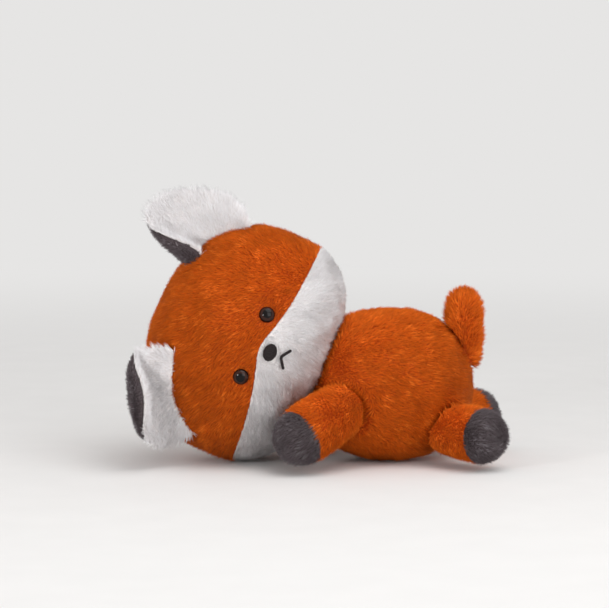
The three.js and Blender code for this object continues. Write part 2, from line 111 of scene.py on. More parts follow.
class Cut(Enum):
    """How one solid changes another."""

    TAKE = "DIFFERENCE"
    KEEP = "INTERSECT"
    JOIN = "UNION"


class Side(Enum):
    """The fox's left or right, with its sign on the head's x axis."""

    LEFT = 1
    RIGHT = -1

    @property
    def word(self) -> str:
        """The side as it stands in names."""
        return self.name.lower()


Field = Callable[[np.ndarray], np.ndarray]
Colour = tuple[float, float, float, float]


class Graph:
    """A node tree with short ways to add nodes to it."""

    def __init__(self, tree: bpy.types.NodeTree) -> None:
        """Keeps the tree that nodes are added to."""
        self.tree = tree

    def add(
        self, kind: str, feeds: dict[str | int, object] | None = None, **settings: object
    ) -> bpy.types.Node:
        """Adds a node.

        Args:
            kind: the node's type.
            feeds: a value, or the socket of another node, for each input by its name or number.
            **settings: the node's own options.

        Returns:
            The new node.
        """
        node = self.tree.nodes.new(kind)
        for name, value in settings.items():
            setattr(node, name, value)
        for key, value in (feeds or {}).items():
            self.feed(node.inputs[key] if isinstance(key, int) else named(node.inputs, key), value)
        return node

    def feed(self, socket: bpy.types.NodeSocket, value: object) -> None:
        """Gives an input a value, or links the socket of another node to it."""
        if isinstance(value, bpy.types.NodeSocket):
            self.tree.links.new(value, socket)
        else:
            socket.default_value = value

    def put(
        self, kind: str, feeds: dict[str | int, object] | None = None, **settings: object
    ) -> bpy.types.NodeSocket:
        """Adds a node and returns the first of its outputs that is in use."""
        return next(s for s in self.add(kind, feeds, **settings).outputs if s.enabled)

    def number(self, operation: str, *values: object) -> bpy.types.NodeSocket:
        """Adds a sum with numbers."""
        return self.put("ShaderNodeMath", dict(enumerate(values)), operation=operation)

    def vector(self, operation: str, *values: object) -> bpy.types.NodeSocket:
        """Adds a sum with directions or colours."""
        return self.put("ShaderNodeVectorMath", dict(enumerate(values)), operation=operation)

    def scaled(self, value: object, factor: object) -> bpy.types.NodeSocket:
        """A direction or a colour times a number."""
        return self.put("ShaderNodeVectorMath", {0: value, "Scale": factor}, operation="SCALE")

    def noise(self, place: object, scale: float, detail: float, distortion: float = 0) -> bpy.types.Node:
        """Adds a cloudy noise.

        Args:
            place: where it is read.
            scale: how fine it is.
            detail: how many finer levels it has.
            distortion: how far it is pulled awry.

        Returns:
            The node.
        """
        feeds = {"Vector": place, "Scale": scale, "Detail": detail, "Distortion": distortion}
        return self.add("ShaderNodeTexNoise", feeds)

    def ramp(self, value: object, low: float, high: float) -> bpy.types.NodeSocket:
        """How far a value is on a smooth way from low to high."""
        return self.put(
            "ShaderNodeMapRange",
            {"Value": value, "From Min": low, "From Max": high},
            interpolation_type="SMOOTHSTEP",
        )

    def mixed(self, first: object, second: object, share: object) -> bpy.types.NodeSocket:
        """Mixes two colours by a share."""
        node = self.add("ShaderNodeMix", {"Factor": share, "A": first, "B": second}, data_type="RGBA")
        return named(node.outputs, "Result")

    def attribute(self, name: str, kind: str = "FLOAT") -> bpy.types.NodeSocket:
        """The value that a mesh keeps under a name."""
        return self.put("GeometryNodeInputNamedAttribute", {"Name": name}, data_type=kind)

    def chance(self, low: object, high: object, seed: int, kind: str = "FLOAT") -> bpy.types.NodeSocket:
        """A value drawn by lot for each point."""
        feeds = {"Min": low, "Max": high, "Seed": seed}
        return self.put("FunctionNodeRandomValue", feeds, data_type=kind)


def named(sockets: Sequence[bpy.types.NodeSocket], name: str) -> bpy.types.NodeSocket:
    """The socket in use that has this name."""
    return next(s for s in sockets if s.name == name and s.enabled)


def new_group(
    name: str, kind: str, inputs: dict[str, str], output: str, gives: str
) -> tuple[Graph, Sequence[bpy.types.NodeSocket]]:
    """Starts a node group.

    Args:
        name: the group's name.
        kind: the type of its tree.
        inputs: the type of each input, by its name.
        output: its output's name.
        gives: its output's type.

    Returns:
        The group's nodes, and the sockets of its inputs.
    """
    graph = Graph(bpy.data.node_groups.new(name, kind))
    for key, value in inputs.items():
        graph.tree.interface.new_socket(key, in_out="INPUT", socket_type=f"NodeSocket{value}")
    graph.tree.interface.new_socket(output, in_out="OUTPUT", socket_type=f"NodeSocket{gives}")
    return graph, graph.add("NodeGroupInput").outputs


def new_object(mesh: bpy.types.Mesh, name: str) -> bpy.types.Object:
    """Puts a mesh in the scene under a name."""
    made = bpy.data.objects.new(name, mesh)
    bpy.context.scene.collection.objects.link(made)
    return made


def object_of(shape: bmesh.types.BMesh, name: str) -> bpy.types.Object:
    """Turns a bmesh into an object with smooth faces, and frees it.

    Args:
        shape: the bmesh.
        name: the object's name.

    Returns:
        The new object, which is in the scene.
    """
    for face in shape.faces:
        face.smooth = True
    mesh = bpy.data.meshes.new(name)
    shape.to_mesh(mesh)
    shape.free()
    return new_object(mesh, name)


def settle(piece: bpy.types.Object) -> bpy.types.Object:
    """Applies a piece's modifiers to its mesh.

    Args:
        piece: the object.

    Returns:
        The same object.
    """
    graph = bpy.context.evaluated_depsgraph_get()
    shown = piece.evaluated_get(graph)
    mesh = bpy.data.meshes.new_from_object(shown, preserve_all_data_layers=True, depsgraph=graph)
    piece.modifiers.clear()
    old = piece.data
    piece.data = mesh
    bpy.data.meshes.remove(old)
    mesh.name = piece.name
    return piece


def discard(piece: bpy.types.Object) -> None:
    """Removes an object that was only a tool."""
    mesh = piece.data
    bpy.data.objects.remove(piece)
    if mesh.users == 0:
        bpy.data.meshes.remove(mesh)


def carve(target: bpy.types.Object, tool: bpy.types.Object, how: Cut) -> bpy.types.Object:
    """Cuts or joins one solid with another, and removes the tool.

    Args:
        target: the solid that changes.
        tool: the solid that changes it.
        how: what is done.

    Returns:
        The changed solid.
    """
    step = target.modifiers.new("cut", "BOOLEAN")
    step.operation = how.value
    step.solver = "EXACT"
    step.object = tool
    settle(target)
    discard(tool)
    return target


def twin(source: bpy.types.Object, name: str) -> bpy.types.Object:
    """Copies an object and its mesh under a new name."""
    return new_object(source.data.copy(), name)


@contextmanager
def opened(piece: bpy.types.Object) -> Iterator[bmesh.types.BMesh]:
    """Lends a piece's mesh as a bmesh, and writes it back when it is done with.

    Args:
        piece: the object.

    Yields:
        The bmesh.
    """
    shape = bmesh.new()
    shape.from_mesh(piece.data)
    yield shape
    shape.to_mesh(piece.data)
    shape.free()


def lathed(
    outline: Sequence[tuple[float, float]], sides: int, along_y: bool = False
) -> bmesh.types.BMesh:
    """Turns an outline once round an axis through the origin into a closed skin that faces outwards.

    Args:
        outline: how far out and how far up each of its points is.
        sides: faces once round.
        along_y: whether the axis is y and not z.

    Returns:
        A new bmesh.
    """
    shape = bmesh.new()
    axis = "Y" if along_y else "Z"
    turns = [Matrix.Rotation(math.tau * step / sides, 3, axis) for step in range(sides)]
    rings = []
    for out, up in outline:
        start = Vector((out, up, 0) if along_y else (out, 0, up))
        rings.append([shape.verts.new(turn @ start) for turn in (turns if out else turns[:1])])
    for low, high in zip(rings, rings[1:]):
        for step in range(sides):
            pairs = [(ring[step % len(ring)], ring[(step + 1) % len(ring)]) for ring in (low, high)]
            corners = [*pairs[0], *reversed(pairs[1])]
            shape.faces.new(dict.fromkeys(corners))
    bmesh.ops.recalc_face_normals(shape, faces=shape.faces)
    return shape


def places(mesh: bpy.types.Mesh) -> np.ndarray:
    """The places of a mesh's points, one row each."""
    found = np.empty(len(mesh.vertices) * 3)
    mesh.vertices.foreach_get("co", found)
    return found.reshape(-1, 3)


def set_places(mesh: bpy.types.Mesh, points: np.ndarray) -> None:
    """Moves a mesh's points to new places."""
    mesh.vertices.foreach_set("co", points.ravel())
    mesh.update()


def put_in_order(mesh: bpy.types.Mesh) -> None:
    """Sorts a mesh's points, faces and corners, which a cut leaves in no fixed order.

    What is planted on the mesh then stands in the same places at each run.
    """
    points = places(mesh)
    order = np.lexsort(points.T)
    rank = np.argsort(order).tolist()
    rings = []
    for face in mesh.polygons:
        ring = [rank[at] for at in face.vertices]
        first = ring.index(min(ring))
        rings.append(ring[first:] + ring[:first])
    mesh.clear_geometry()
    mesh.from_pydata(points[order], [], sorted(rings))
    mesh.shade_smooth()


def outward(mesh: bpy.types.Mesh) -> np.ndarray:
    """The normals at a mesh's points, one row each."""
    found = np.empty(len(mesh.vertices) * 3)
    mesh.vertex_normals.foreach_get("vector", found)
    return found.reshape(-1, 3)


def write_values(mesh: bpy.types.Mesh, name: str, values: np.ndarray) -> None:
    """Keeps a number or a direction at each point of a mesh.

    Args:
        mesh: the mesh.
        name: the attribute's name.
        values: one number a point, or one row of three.
    """
    kind, key = ("FLOAT", "value") if values.ndim == 1 else ("FLOAT_VECTOR", "vector")
    attribute = mesh.attributes.new(name, kind, "POINT")
    attribute.data.foreach_set(key, values.astype(np.float32).ravel())


def unit(vectors: np.ndarray) -> np.ndarray:
    """The vectors at length one."""
    return vectors / np.maximum(np.linalg.norm(vectors, axis=1, keepdims=True), 1e-12)


def smooth_share(values: np.ndarray, low: float, high: float) -> np.ndarray:
    """How far each value is on a smooth way from low, where it gives 0, to high, where it gives 1."""
    share = np.clip((values - low) / (high - low), 0, 1)
    return share * share * (3 - 2 * share)


def rising(values: np.ndarray, least: float, low: float, high: float) -> np.ndarray:
    """A share that is least where values are under low, and 1 where they are over high."""
    return least + (1 - least) * smooth_share(values, low, high)


def in_frame(points: np.ndarray, frame: Matrix) -> np.ndarray:
    """Points of the object's frame as another frame has them."""
    return (points - np.array(frame.translation)) @ np.array(frame.to_3x3())


def frame_of(origin: Vector, across: Vector, along: Vector) -> Matrix:
    """A frame with x across, y as near along as it can be, and z square to both.

    Args:
        origin: where the frame stands.
        across: its x axis.
        along: the direction that its y axis is nearest to.

    Returns:
        The frame.
    """
    x = across.normalized()
    z = x.cross(along).normalized()
    y = z.cross(x)
    frame = Matrix((x, y, z)).transposed().to_4x4()
    frame.translation = origin
    return frame


@dataclass(frozen=True)
class StuffedForm:
    """A stuffed form: a swelling outline turned once round its own y axis.

    Attributes:
        frame: where its widest level stands, with y towards its high end.
        radius: half its width along x.
        depth: half its width along z.
        low: how far its low end is from the widest level.
        high: how far its high end is.
        low_round: how full its low half is. 2 is an ellipse, and more is squarer.
        high_round: how full its high half is.
    """

    frame: Matrix
    radius: float
    depth: float
    low: float
    high: float
    low_round: float
    high_round: float

    def grown(self, by: float) -> "StuffedForm":
        """The same form with its skin moved out."""
        return replace(
            self, radius=self.radius + by, depth=self.depth + by, low=self.low + by, high=self.high + by
        )

    def swung(self, place: Vector, axis: Vector, angle: float) -> "StuffedForm":
        """The same form turned about an axis through a place."""
        turn = Matrix.Rotation(angle, 4, axis)
        about = Matrix.Translation(place) @ turn @ Matrix.Translation(-place)
        return replace(self, frame=about @ self.frame)

    def half(self, up: float) -> tuple[float, float]:
        """How far the form's half on a level's side reaches, and how full it is."""
        return (self.high, self.high_round) if up > 0 else (self.low, self.low_round)

    def level(self, points: np.ndarray) -> np.ndarray:
        """How far out points are: 1 on the skin and less inside.

        Args:
            points: places in the object's frame.

        Returns:
            One number a point.
        """
        own = in_frame(points, self.frame)
        out = np.hypot(own[:, 0] / self.radius, own[:, 2] / self.depth)
        high = own[:, 1] > 0
        up = np.abs(own[:, 1]) / np.where(high, self.high, self.low)
        power = np.where(high, self.high_round, self.low_round)
        return (out**power + up**power) ** (1 / power)

    def distance(self, points: np.ndarray) -> np.ndarray:
        """About how far points are outside the skin, in metres, and less than 0 inside it."""
        far = np.linalg.norm(in_frame(points, self.frame), axis=1)
        return far * (1 - 1 / np.maximum(self.level(points), 1e-6))

    def way_out(self, points: np.ndarray) -> np.ndarray:
        """The direction out of the form at points.

        Args:
            points: places in the object's frame.

        Returns:
            One direction a point.
        """
        steps = 0.1 * MM * np.eye(3)
        rises = [self.level(points + step) - self.level(points - step) for step in steps]
        return unit(np.stack(rises, axis=1))

    def on_skin(self, across: float, up: float) -> Vector:
        """The place of the skin in front of a point of the form's middle plane.

        Args:
            across: the point along the form's x axis.
            up: the point along its y axis.

        Returns:
            The place in the object's frame.
        """
        reach, power = self.half(up)
        width = (1 - abs(up / reach) ** power) ** (1 / power)
        front = self.depth * math.sqrt(width**2 - (across / self.radius) ** 2)
        return self.frame @ Vector((across, up, front))

    def turned(self, sides: int, steps: int) -> bmesh.types.BMesh:
        """The form's skin as one closed mesh.

        Args:
            sides: faces once round.
            steps: faces from end to end.

        Returns:
            A bmesh in the object's frame.
        """
        outline = []
        for step in range(steps + 1):
            angle = (step / steps - 0.5) * math.pi
            reach, power = self.half(angle)
            out = self.radius * max(0.0, math.cos(angle)) ** (2 / power)
            up = math.copysign(reach * abs(math.sin(angle)) ** (2 / power), angle)
            outline.append((out if 0 < step < steps else 0, up))
        shape = lathed(outline, sides, along_y=True)
        bmesh.ops.scale(shape, vec=(1, 1, self.depth / self.radius), verts=shape.verts)
        bmesh.ops.transform(shape, matrix=self.frame, verts=shape.verts)
        return shape

    def solid(self, name: str, sides: int = 72, steps: int = 48) -> bpy.types.Object:
        """The form as an object."""
        return object_of(self.turned(sides, steps), name)


def ball(place: Vector, radius: float) -> StuffedForm:
    """A ball-shaped form round a place."""
    return StuffedForm(Matrix.Translation(place), radius, radius, radius, radius, 2, 2)


def lay_down(piece: bpy.types.Object, height: float) -> None:
    """Flattens what would sink below a height onto a level there."""
    points = places(piece.data)
    points[:, 2] = np.maximum(points[:, 2], height)
    set_places(piece.data, points)


def stuff_unevenly(piece: bpy.types.Object, most: float, size: float) -> None:
    """Pulls a skin in here and there, as loose filling leaves it.

    Args:
        piece: the object whose mesh changes.
        most: the deepest that the skin goes in.
        size: how wide the hollows are.
    """
    points, ways = places(piece.data), outward(piece.data)
    depths = [most * (0.5 + 0.5 * noise.noise(Vector(p) / size)) for p in points]
    set_places(piece.data, points - ways * np.array(depths)[:, None])


class TuftBox:
    """The tufts that every pile is made of, kept outside the scene."""

    kinds: int = 6
    hairs: int = 6
    hair_sides: int = 3
    length_shares: tuple[float, float] = (0.78, 1.0)
    width_shares: tuple[float, float] = (0.8, 1.2)
    root_depth: float = 0.4 * MM
    gather: float = 0.7
    stray: float = 0.28
    droop: float = 0.12

    def __init__(self) -> None:
        """Makes the tufts."""
        self.collection = bpy.data.collections.new("tufts")
        dice = np.random.default_rng(11)
        for kind in range(self.kinds):
            shape = bmesh.new()
            along = shape.verts.layers.float.new("along")
            aside = shape.verts.layers.float.new("aside")
            for _ in range(self.hairs):
                self.add_hair(shape, dice, along, aside)
            tuft = object_of(shape, f"tuft_{kind}")
            bpy.context.scene.collection.objects.unlink(tuft)
            self.collection.objects.link(tuft)

    def add_hair(
        self,
        shape: bmesh.types.BMesh,
        dice: np.random.Generator,
        along: bmesh.types.BMLayerItem,
        aside: bmesh.types.BMLayerItem,
    ) -> None:
        """Adds one tapered hair that leans towards its tuft's middle.

        Args:
            shape: the tuft.
            dice: the source of chance.
            along: the layer that says how far up its hair a point is.
            aside: the layer that tells the points round a hair apart.
        """
        length = HAIR_LENGTH * dice.uniform(*self.length_shares)
        width = HAIR_WIDTH * dice.uniform(*self.width_shares)
        made = bmesh.ops.create_cone(
            shape,
            segments=self.hair_sides,
            radius1=width / 2,
            radius2=0,
            depth=length,
            cap_ends=False,
        )["verts"]
        turn = Matrix.Rotation(dice.uniform(0, math.tau), 3, "Z")
        bmesh.ops.rotate(shape, verts=made, matrix=turn)
        bmesh.ops.translate(shape, verts=made, vec=(0, 0, length / 2))
        angle = dice.uniform(0, math.tau)
        out = TUFT_WIDTH / 2 * math.sqrt(dice.uniform())
        root = Vector((out * math.cos(angle), out * math.sin(angle), -self.root_depth))
        stray = Vector((dice.normal(), dice.normal(), 0)) * TUFT_WIDTH * self.stray
        droop = Vector((dice.uniform(0, self.droop) * length, 0, 0))
        tip = root * self.gather + stray + droop
        for number, vertex in enumerate(made):
            share = vertex.co.z / length
            vertex[along] = share
            vertex[aside] = (number % self.hair_sides) / (self.hair_sides - 1)
            vertex.co.xy += root.xy.lerp(tip.xy, share)
            vertex.co.z += root.z


@dataclass(frozen=True)
class Growth:
    """How the tufts of a pile differ from one another.

    Attributes:
        lean: the least and the most that a tuft takes of its pile's lean.
        astray: how far a tuft points off its way.
        wave: how far the pile sways together.
        wave_scale: how fine its waves are.
        length: the least and the most that a tuft takes of its pile's length.
        shade: how far a tuft's shade is off the shade of its patch.
        patch_scale: how fine the patches of shade are.
        floor: the lowest level that the pile reaches, just over the ground.
    """

    lean: tuple[float, float] = (0.5, 1.15)
    astray: float = 0.22
    wave: float = 1.1
    wave_scale: float = 75
    length: tuple[float, float] = (0.82, 1.1)
    shade: float = 0.36
    patch_scale: float = 110
    floor: float = 0.1 * MM

    def tree(self) -> bpy.types.NodeTree:
        """Makes the geometry tree that plants tufts on a skin and adds them to the cloth.

        Returns:
            The tree, with the skin, the tufts, their number, spacing, lean and seed as inputs.
        """
        inputs = {
            "Cloth": "Geometry",
            "Skin": "Object",
            "Tufts": "Collection",
            "Number": "Float",
            "Spacing": "Float",
            "Lean": "Float",
            "Seed": "Int",
        }
        graph, given = new_group("grow_pile", "GeometryNodeTree", inputs, "Cover", "Geometry")
        skin = graph.add("GeometryNodeObjectInfo", {"Object": given["Skin"]})
        feeds = {
            "Mesh": named(skin.outputs, "Geometry"),
            "Density Max": given["Number"],
            "Distance Min": given["Spacing"],
            "Density Factor": graph.attribute("thickness"),
            "Seed": given["Seed"],
        }
        planted = graph.add(
            "GeometryNodeDistributePointsOnFaces", feeds, distribute_method="POISSON"
        ).outputs
        place = graph.put("GeometryNodeInputPosition")
        patches = graph.noise(place, self.patch_scale, 2).outputs[0]
        own = graph.chance(-self.shade, self.shade, 7)
        shade = graph.add("ShaderNodeMath", {0: patches, 1: own}, operation="ADD", use_clamp=True)
        points = graph.put(
            "GeometryNodeStoreNamedAttribute",
            {"Geometry": planted["Points"], "Name": "shade", "Value": shade.outputs[0]},
            data_type="FLOAT",
            domain="POINT",
        )
        tufts = graph.put(
            "GeometryNodeCollectionInfo",
            {"Collection": given["Tufts"], "Separate Children": True, "Reset Children": True},
        )
        length = graph.number("MULTIPLY", graph.attribute("length"), graph.chance(*self.length, 5))
        feeds = {
            "Points": points,
            "Instance": tufts,
            "Pick Instance": True,
            "Instance Index": graph.chance(0, 999, 9, "INT"),
            "Rotation": self.rotation(graph, place, given["Lean"], planted["Normal"]),
            "Scale": graph.put("ShaderNodeCombineXYZ", {"X": 1.0, "Y": 1.0, "Z": length}),
        }
        grown = graph.put("GeometryNodeInstanceOnPoints", feeds)
        hairs = store_map(
            graph,
            graph.put("GeometryNodeRealizeInstances", {"Geometry": grown}),
            times_plus(graph, "shade", 0.95, times_plus(graph, "aside", 0.03, 0.01)),
            times_plus(graph, "along", 0.9, 0.08),
        )
        x, y, z = graph.add("ShaderNodeSeparateXYZ", {"Vector": place}).outputs
        # The backing's map stays near the root end, so the backing takes the darker root colour: painted
        # shade under the pile.
        cloth = store_map(
            graph,
            given["Cloth"],
            times_plus(graph, x, 0.8, times_plus(graph, y, 0.8, 0.4)),
            times_plus(graph, z, 0.15, 0.02),
        )
        joined = graph.add("GeometryNodeJoinGeometry")
        for part in (cloth, hairs):
            graph.feed(joined.inputs[0], part)
        low = graph.number("MAXIMUM", z, self.floor)
        above = graph.put("ShaderNodeCombineXYZ", {"X": x, "Y": y, "Z": low})
        feeds = {"Geometry": joined.outputs[0], "Position": above}
        rested = graph.put("GeometryNodeSetPosition", feeds)
        graph.add("NodeGroupOutput", {"Cover": rested})
        return graph.tree

    def rotation(self, graph: Graph, place: object, lean: object, out: object) -> bpy.types.NodeSocket:
        """Adds the way that each tuft points: out of the skin, along the nap and a little astray.

        Args:
            graph: the geometry tree.
            place: the socket of the tufts' places.
            lean: the socket of the pile's lean.
            out: the socket of the ways out of the skin.

        Returns:
            The socket of the tufts' rotations.
        """
        nap = graph.attribute("nap", "FLOAT_VECTOR")
        own = graph.number("MULTIPLY", lean, graph.chance(*self.lean, 4))
        leaning = graph.vector("ADD", graph.scaled(nap, own), out)
        combed = named(graph.noise(place, self.wave_scale, 1).outputs, "Color")
        waves = graph.vector("MULTIPLY_ADD", combed, (2 * self.wave,) * 3, (-self.wave,) * 3)
        astray = graph.chance((-self.astray,) * 3, (self.astray,) * 3, 3, "FLOAT_VECTOR")
        growth = graph.vector("ADD", leaning, graph.vector("ADD", astray, waves))
        return graph.put(
            "FunctionNodeAxesToRotation",
            {"Primary Axis": growth, "Secondary Axis": nap},
            primary_axis="Z",
            secondary_axis="X",
        )


def times_plus(graph: Graph, value: object, factor: float, more: object) -> bpy.types.NodeSocket:
    """A value, or what the mesh keeps under a name, times a factor, and then more added."""
    known = graph.attribute(value) if isinstance(value, str) else value
    return graph.number("MULTIPLY_ADD", known, factor, more)


def store_map(
    graph: Graph,
    geometry: bpy.types.NodeSocket,
    across: bpy.types.NodeSocket,
    along: bpy.types.NodeSocket,
) -> bpy.types.NodeSocket:
    """Keeps each corner's place on the pile's map.

    Args:
        graph: the geometry tree.
        geometry: what gets the map.
        across: the map's first number, a hair's own shade.
        along: its second, from 0 at the root to 1 at the tip.

    Returns:
        The geometry with its map.
    """
    place = graph.put("ShaderNodeCombineXYZ", {"X": across, "Y": along})
    return graph.put(
        "GeometryNodeStoreNamedAttribute",
        {"Geometry": geometry, "Name": PILE_MAP, "Value": place},
        data_type="FLOAT2",
        domain="CORNER",
    )


def colour(red: float, green: float, blue: float) -> Colour:
    """A colour given in display values of 0 to 255, as the shaders take it."""
    return (*(linear(value / 255) for value in (red, green, blue)), 1.0)


def linear(value: float) -> float:
    """A display value from 0 to 1 as a linear one."""
    return value / 12.92 if value <= 0.04045 else ((value + 0.055) / 1.055) ** 2.4


def material_graph(
    name: str, surface: dict[str, object]
) -> tuple[bpy.types.Material, Graph, bpy.types.Node]:
    """A new material with a bare surface shader.

    Args:
        name: the material's name.
        surface: the shader's plain values, by the names of its inputs.

    Returns:
        The material, its nodes and its surface shader.
    """
    material = bpy.data.materials.new(name)
    material.use_nodes = True
    shader = material.node_tree.nodes["Principled BSDF"]
    for key, value in surface.items():
        shader.inputs[key].default_value = value
    return material, Graph(material.node_tree), shader


def pile_colour_group() -> bpy.types.NodeTree:
    """The node group that colours a pile from its map.

    Returns:
        A group with the colours at the root, along the hair and at the tip, and how much single hairs
        differ, as inputs, and the colour as its output. The darker root colour is painted shade between
        the hairs.
    """
    inputs = dict.fromkeys(("Root", "Body", "Tip", "Stray"), "Color") | {"Contrast": "Float"}
    graph, given = new_group("pile_colour", "ShaderNodeTree", inputs, "Colour", "Color")
    place = graph.put("ShaderNodeUVMap", uv_map=PILE_MAP)
    on_map = graph.add("ShaderNodeSeparateXYZ", {"Vector": place}).outputs
    # Painted shade: each hair darkens from the body colour down to the root colour, for the shade deep
    # between the hairs.
    up = graph.mixed(given["Root"], given["Body"], graph.ramp(on_map["Y"], 0.05, 0.5))
    up = graph.mixed(up, given["Tip"], graph.ramp(on_map["Y"], 0.5, 1.0))
    strays = graph.mixed(up, given["Stray"], graph.ramp(on_map["X"], 0.72, 0.95))
    swing = graph.number("SUBTRACT", on_map["X"], 0.5)
    swing = graph.number("MULTIPLY_ADD", swing, given["Contrast"], 1.0)
    graph.add("NodeGroupOutput", {"Colour": graph.scaled(strays, swing)})
    return graph.tree


@dataclass(frozen=True)
class PileFinish:
    """Short pile fur of one colour.

    Attributes:
        slot: the record's name of the finish.
        root: the colour at the roots and of the backing, darker than the hairs as painted shade between
            them.
        body: the colour along the hairs.
        tip: the colour at their tips.
        stray: the colour of the few hairs that stand out.
        contrast: how much single hairs differ in brightness.
        sheen: how strong the glow at grazing angles is.
    """

    slot: str
    root: Colour
    body: Colour
    tip: Colour
    stray: Colour
    contrast: float
    sheen: float

    def material(self, group: bpy.types.NodeTree) -> bpy.types.Material:
        """The finish as a material that uses the pile's colour group."""
        surface = {
            "Roughness": 0.62,
            "Specular IOR Level": 0.15,
            "Sheen Weight": self.sheen,
            "Sheen Roughness": 0.45,
            "Sheen Tint": self.tip,
        }
        material, graph, shader = material_graph(self.slot, surface)
        tint = graph.add("ShaderNodeGroup", node_tree=group)
        for name in ("Root", "Body", "Tip", "Stray", "Contrast"):
            graph.feed(tint.inputs[name], getattr(self, name.lower()))
        graph.feed(shader.inputs["Base Color"], tint.outputs["Colour"])
        return material


# Each root colour is darker than its body colour as painted shade between the hairs and on the backing.
ORANGE = PileFinish(
    slot="orange_plush",
    root=colour(180, 70, 6),
    body=colour(222, 100, 14),
    tip=colour(234, 114, 24),
    stray=colour(243, 130, 40),
    contrast=0.42,
    sheen=0.08,
)
WHITE = PileFinish(
    slot="white_plush",
    root=colour(238, 233, 232),
    body=colour(250, 247, 248),
    tip=colour(253, 251, 252),
    stray=colour(254, 253, 254),
    contrast=0.08,
    sheen=0.15,
)
GREY = PileFinish(
    slot="grey_plush",
    root=colour(70, 60, 62),
    body=colour(98, 88, 91),
    tip=colour(116, 107, 110),
    stray=colour(134, 126, 130),
    contrast=0.35,
    sheen=0.15,
)


@dataclass(frozen=True)
class GrainFinish:
    """A finish whose tone and relief follow a fine noise.

    Attributes:
        slot: the record's name of the finish.
        light: its light tone.
        dark: its dark tone.
        scale: how fine the noise is.
        detail: how many finer levels it has.
        distortion: how far it is pulled awry.
        relief: how far the surface rises with it, or 0 where it is smooth.
        surface: the shader's plain values.
    """

    slot: str
    light: Colour
    dark: Colour
    scale: float
    detail: float
    distortion: float
    relief: float
    surface: dict[str, float]

    def material(self) -> bpy.types.Material:
        """The finish as a material."""
        material, graph, shader = material_graph(self.slot, self.surface)
        place = named(graph.add("ShaderNodeTexCoord").outputs, "Object")
        grain = graph.noise(place, self.scale, self.detail, self.distortion).outputs[0]
        graph.feed(shader.inputs["Base Color"], graph.mixed(self.dark, self.light, grain))
        if self.relief:
            relief = graph.put("ShaderNodeBump", {"Height": grain, "Distance": self.relief})
            graph.feed(shader.inputs["Normal"], relief)
        return material


FILLING = GrainFinish(
    slot="fibre_filling",
    light=colour(240, 237, 231),
    dark=colour(205, 200, 192),
    scale=900,
    detail=4,
    distortion=1.5,
    relief=0.5 * MM,
    surface={"Roughness": 0.95},
)
WASHER = GrainFinish(
    slot="washer_plastic",
    light=colour(225, 225, 216),
    dark=colour(206, 205, 195),
    scale=300,
    detail=3,
    distortion=0,
    relief=0,
    surface={"Roughness": 0.45, "Subsurface Weight": 0.1},
)
THREAD = GrainFinish(
    slot="dark_thread",
    light=colour(40, 30, 31),
    dark=colour(20, 14, 15),
    scale=2500,
    detail=2,
    distortion=0.8,
    relief=0.1 * MM,
    surface={"Roughness": 0.55, "Specular IOR Level": 0.2, "Sheen Weight": 0.05},
)


@dataclass(frozen=True)
class EyeFinish:
    """Polished plastic with a dark brown ring round a black middle.

    Attributes:
        slot: the record's name of the finish.
        rings: for each stop on the way out, its share of the radius and its colour.
    """

    slot: str = "eye_plastic"
    rings: tuple[tuple[float, Colour], ...] = (
        (0.52, colour(10, 6, 6)),
        (0.62, colour(50, 25, 17)),
        (0.8, colour(50, 25, 17)),
        (0.92, colour(14, 8, 7)),
    )

    def material(self) -> bpy.types.Material:
        """The finish as a material that reads how far out from the middle it is."""
        surface = {"Roughness": 0.06, "Specular IOR Level": 0.2}
        material, graph, shader = material_graph(self.slot, surface)
        reader = graph.add("ShaderNodeAttribute", attribute_name="from_middle")
        ramp = graph.add("ShaderNodeValToRGB", {"Fac": named(reader.outputs, "Fac")})
        stops = ramp.color_ramp.elements
        stops.remove(stops[1])
        for number, (place, tone) in enumerate(self.rings):
            stop = stops.new(place) if number else stops[0]
            stop.position, stop.color = place, tone
        graph.feed(shader.inputs["Base Color"], ramp.outputs["Color"])
        return material


EYE = EyeFinish()


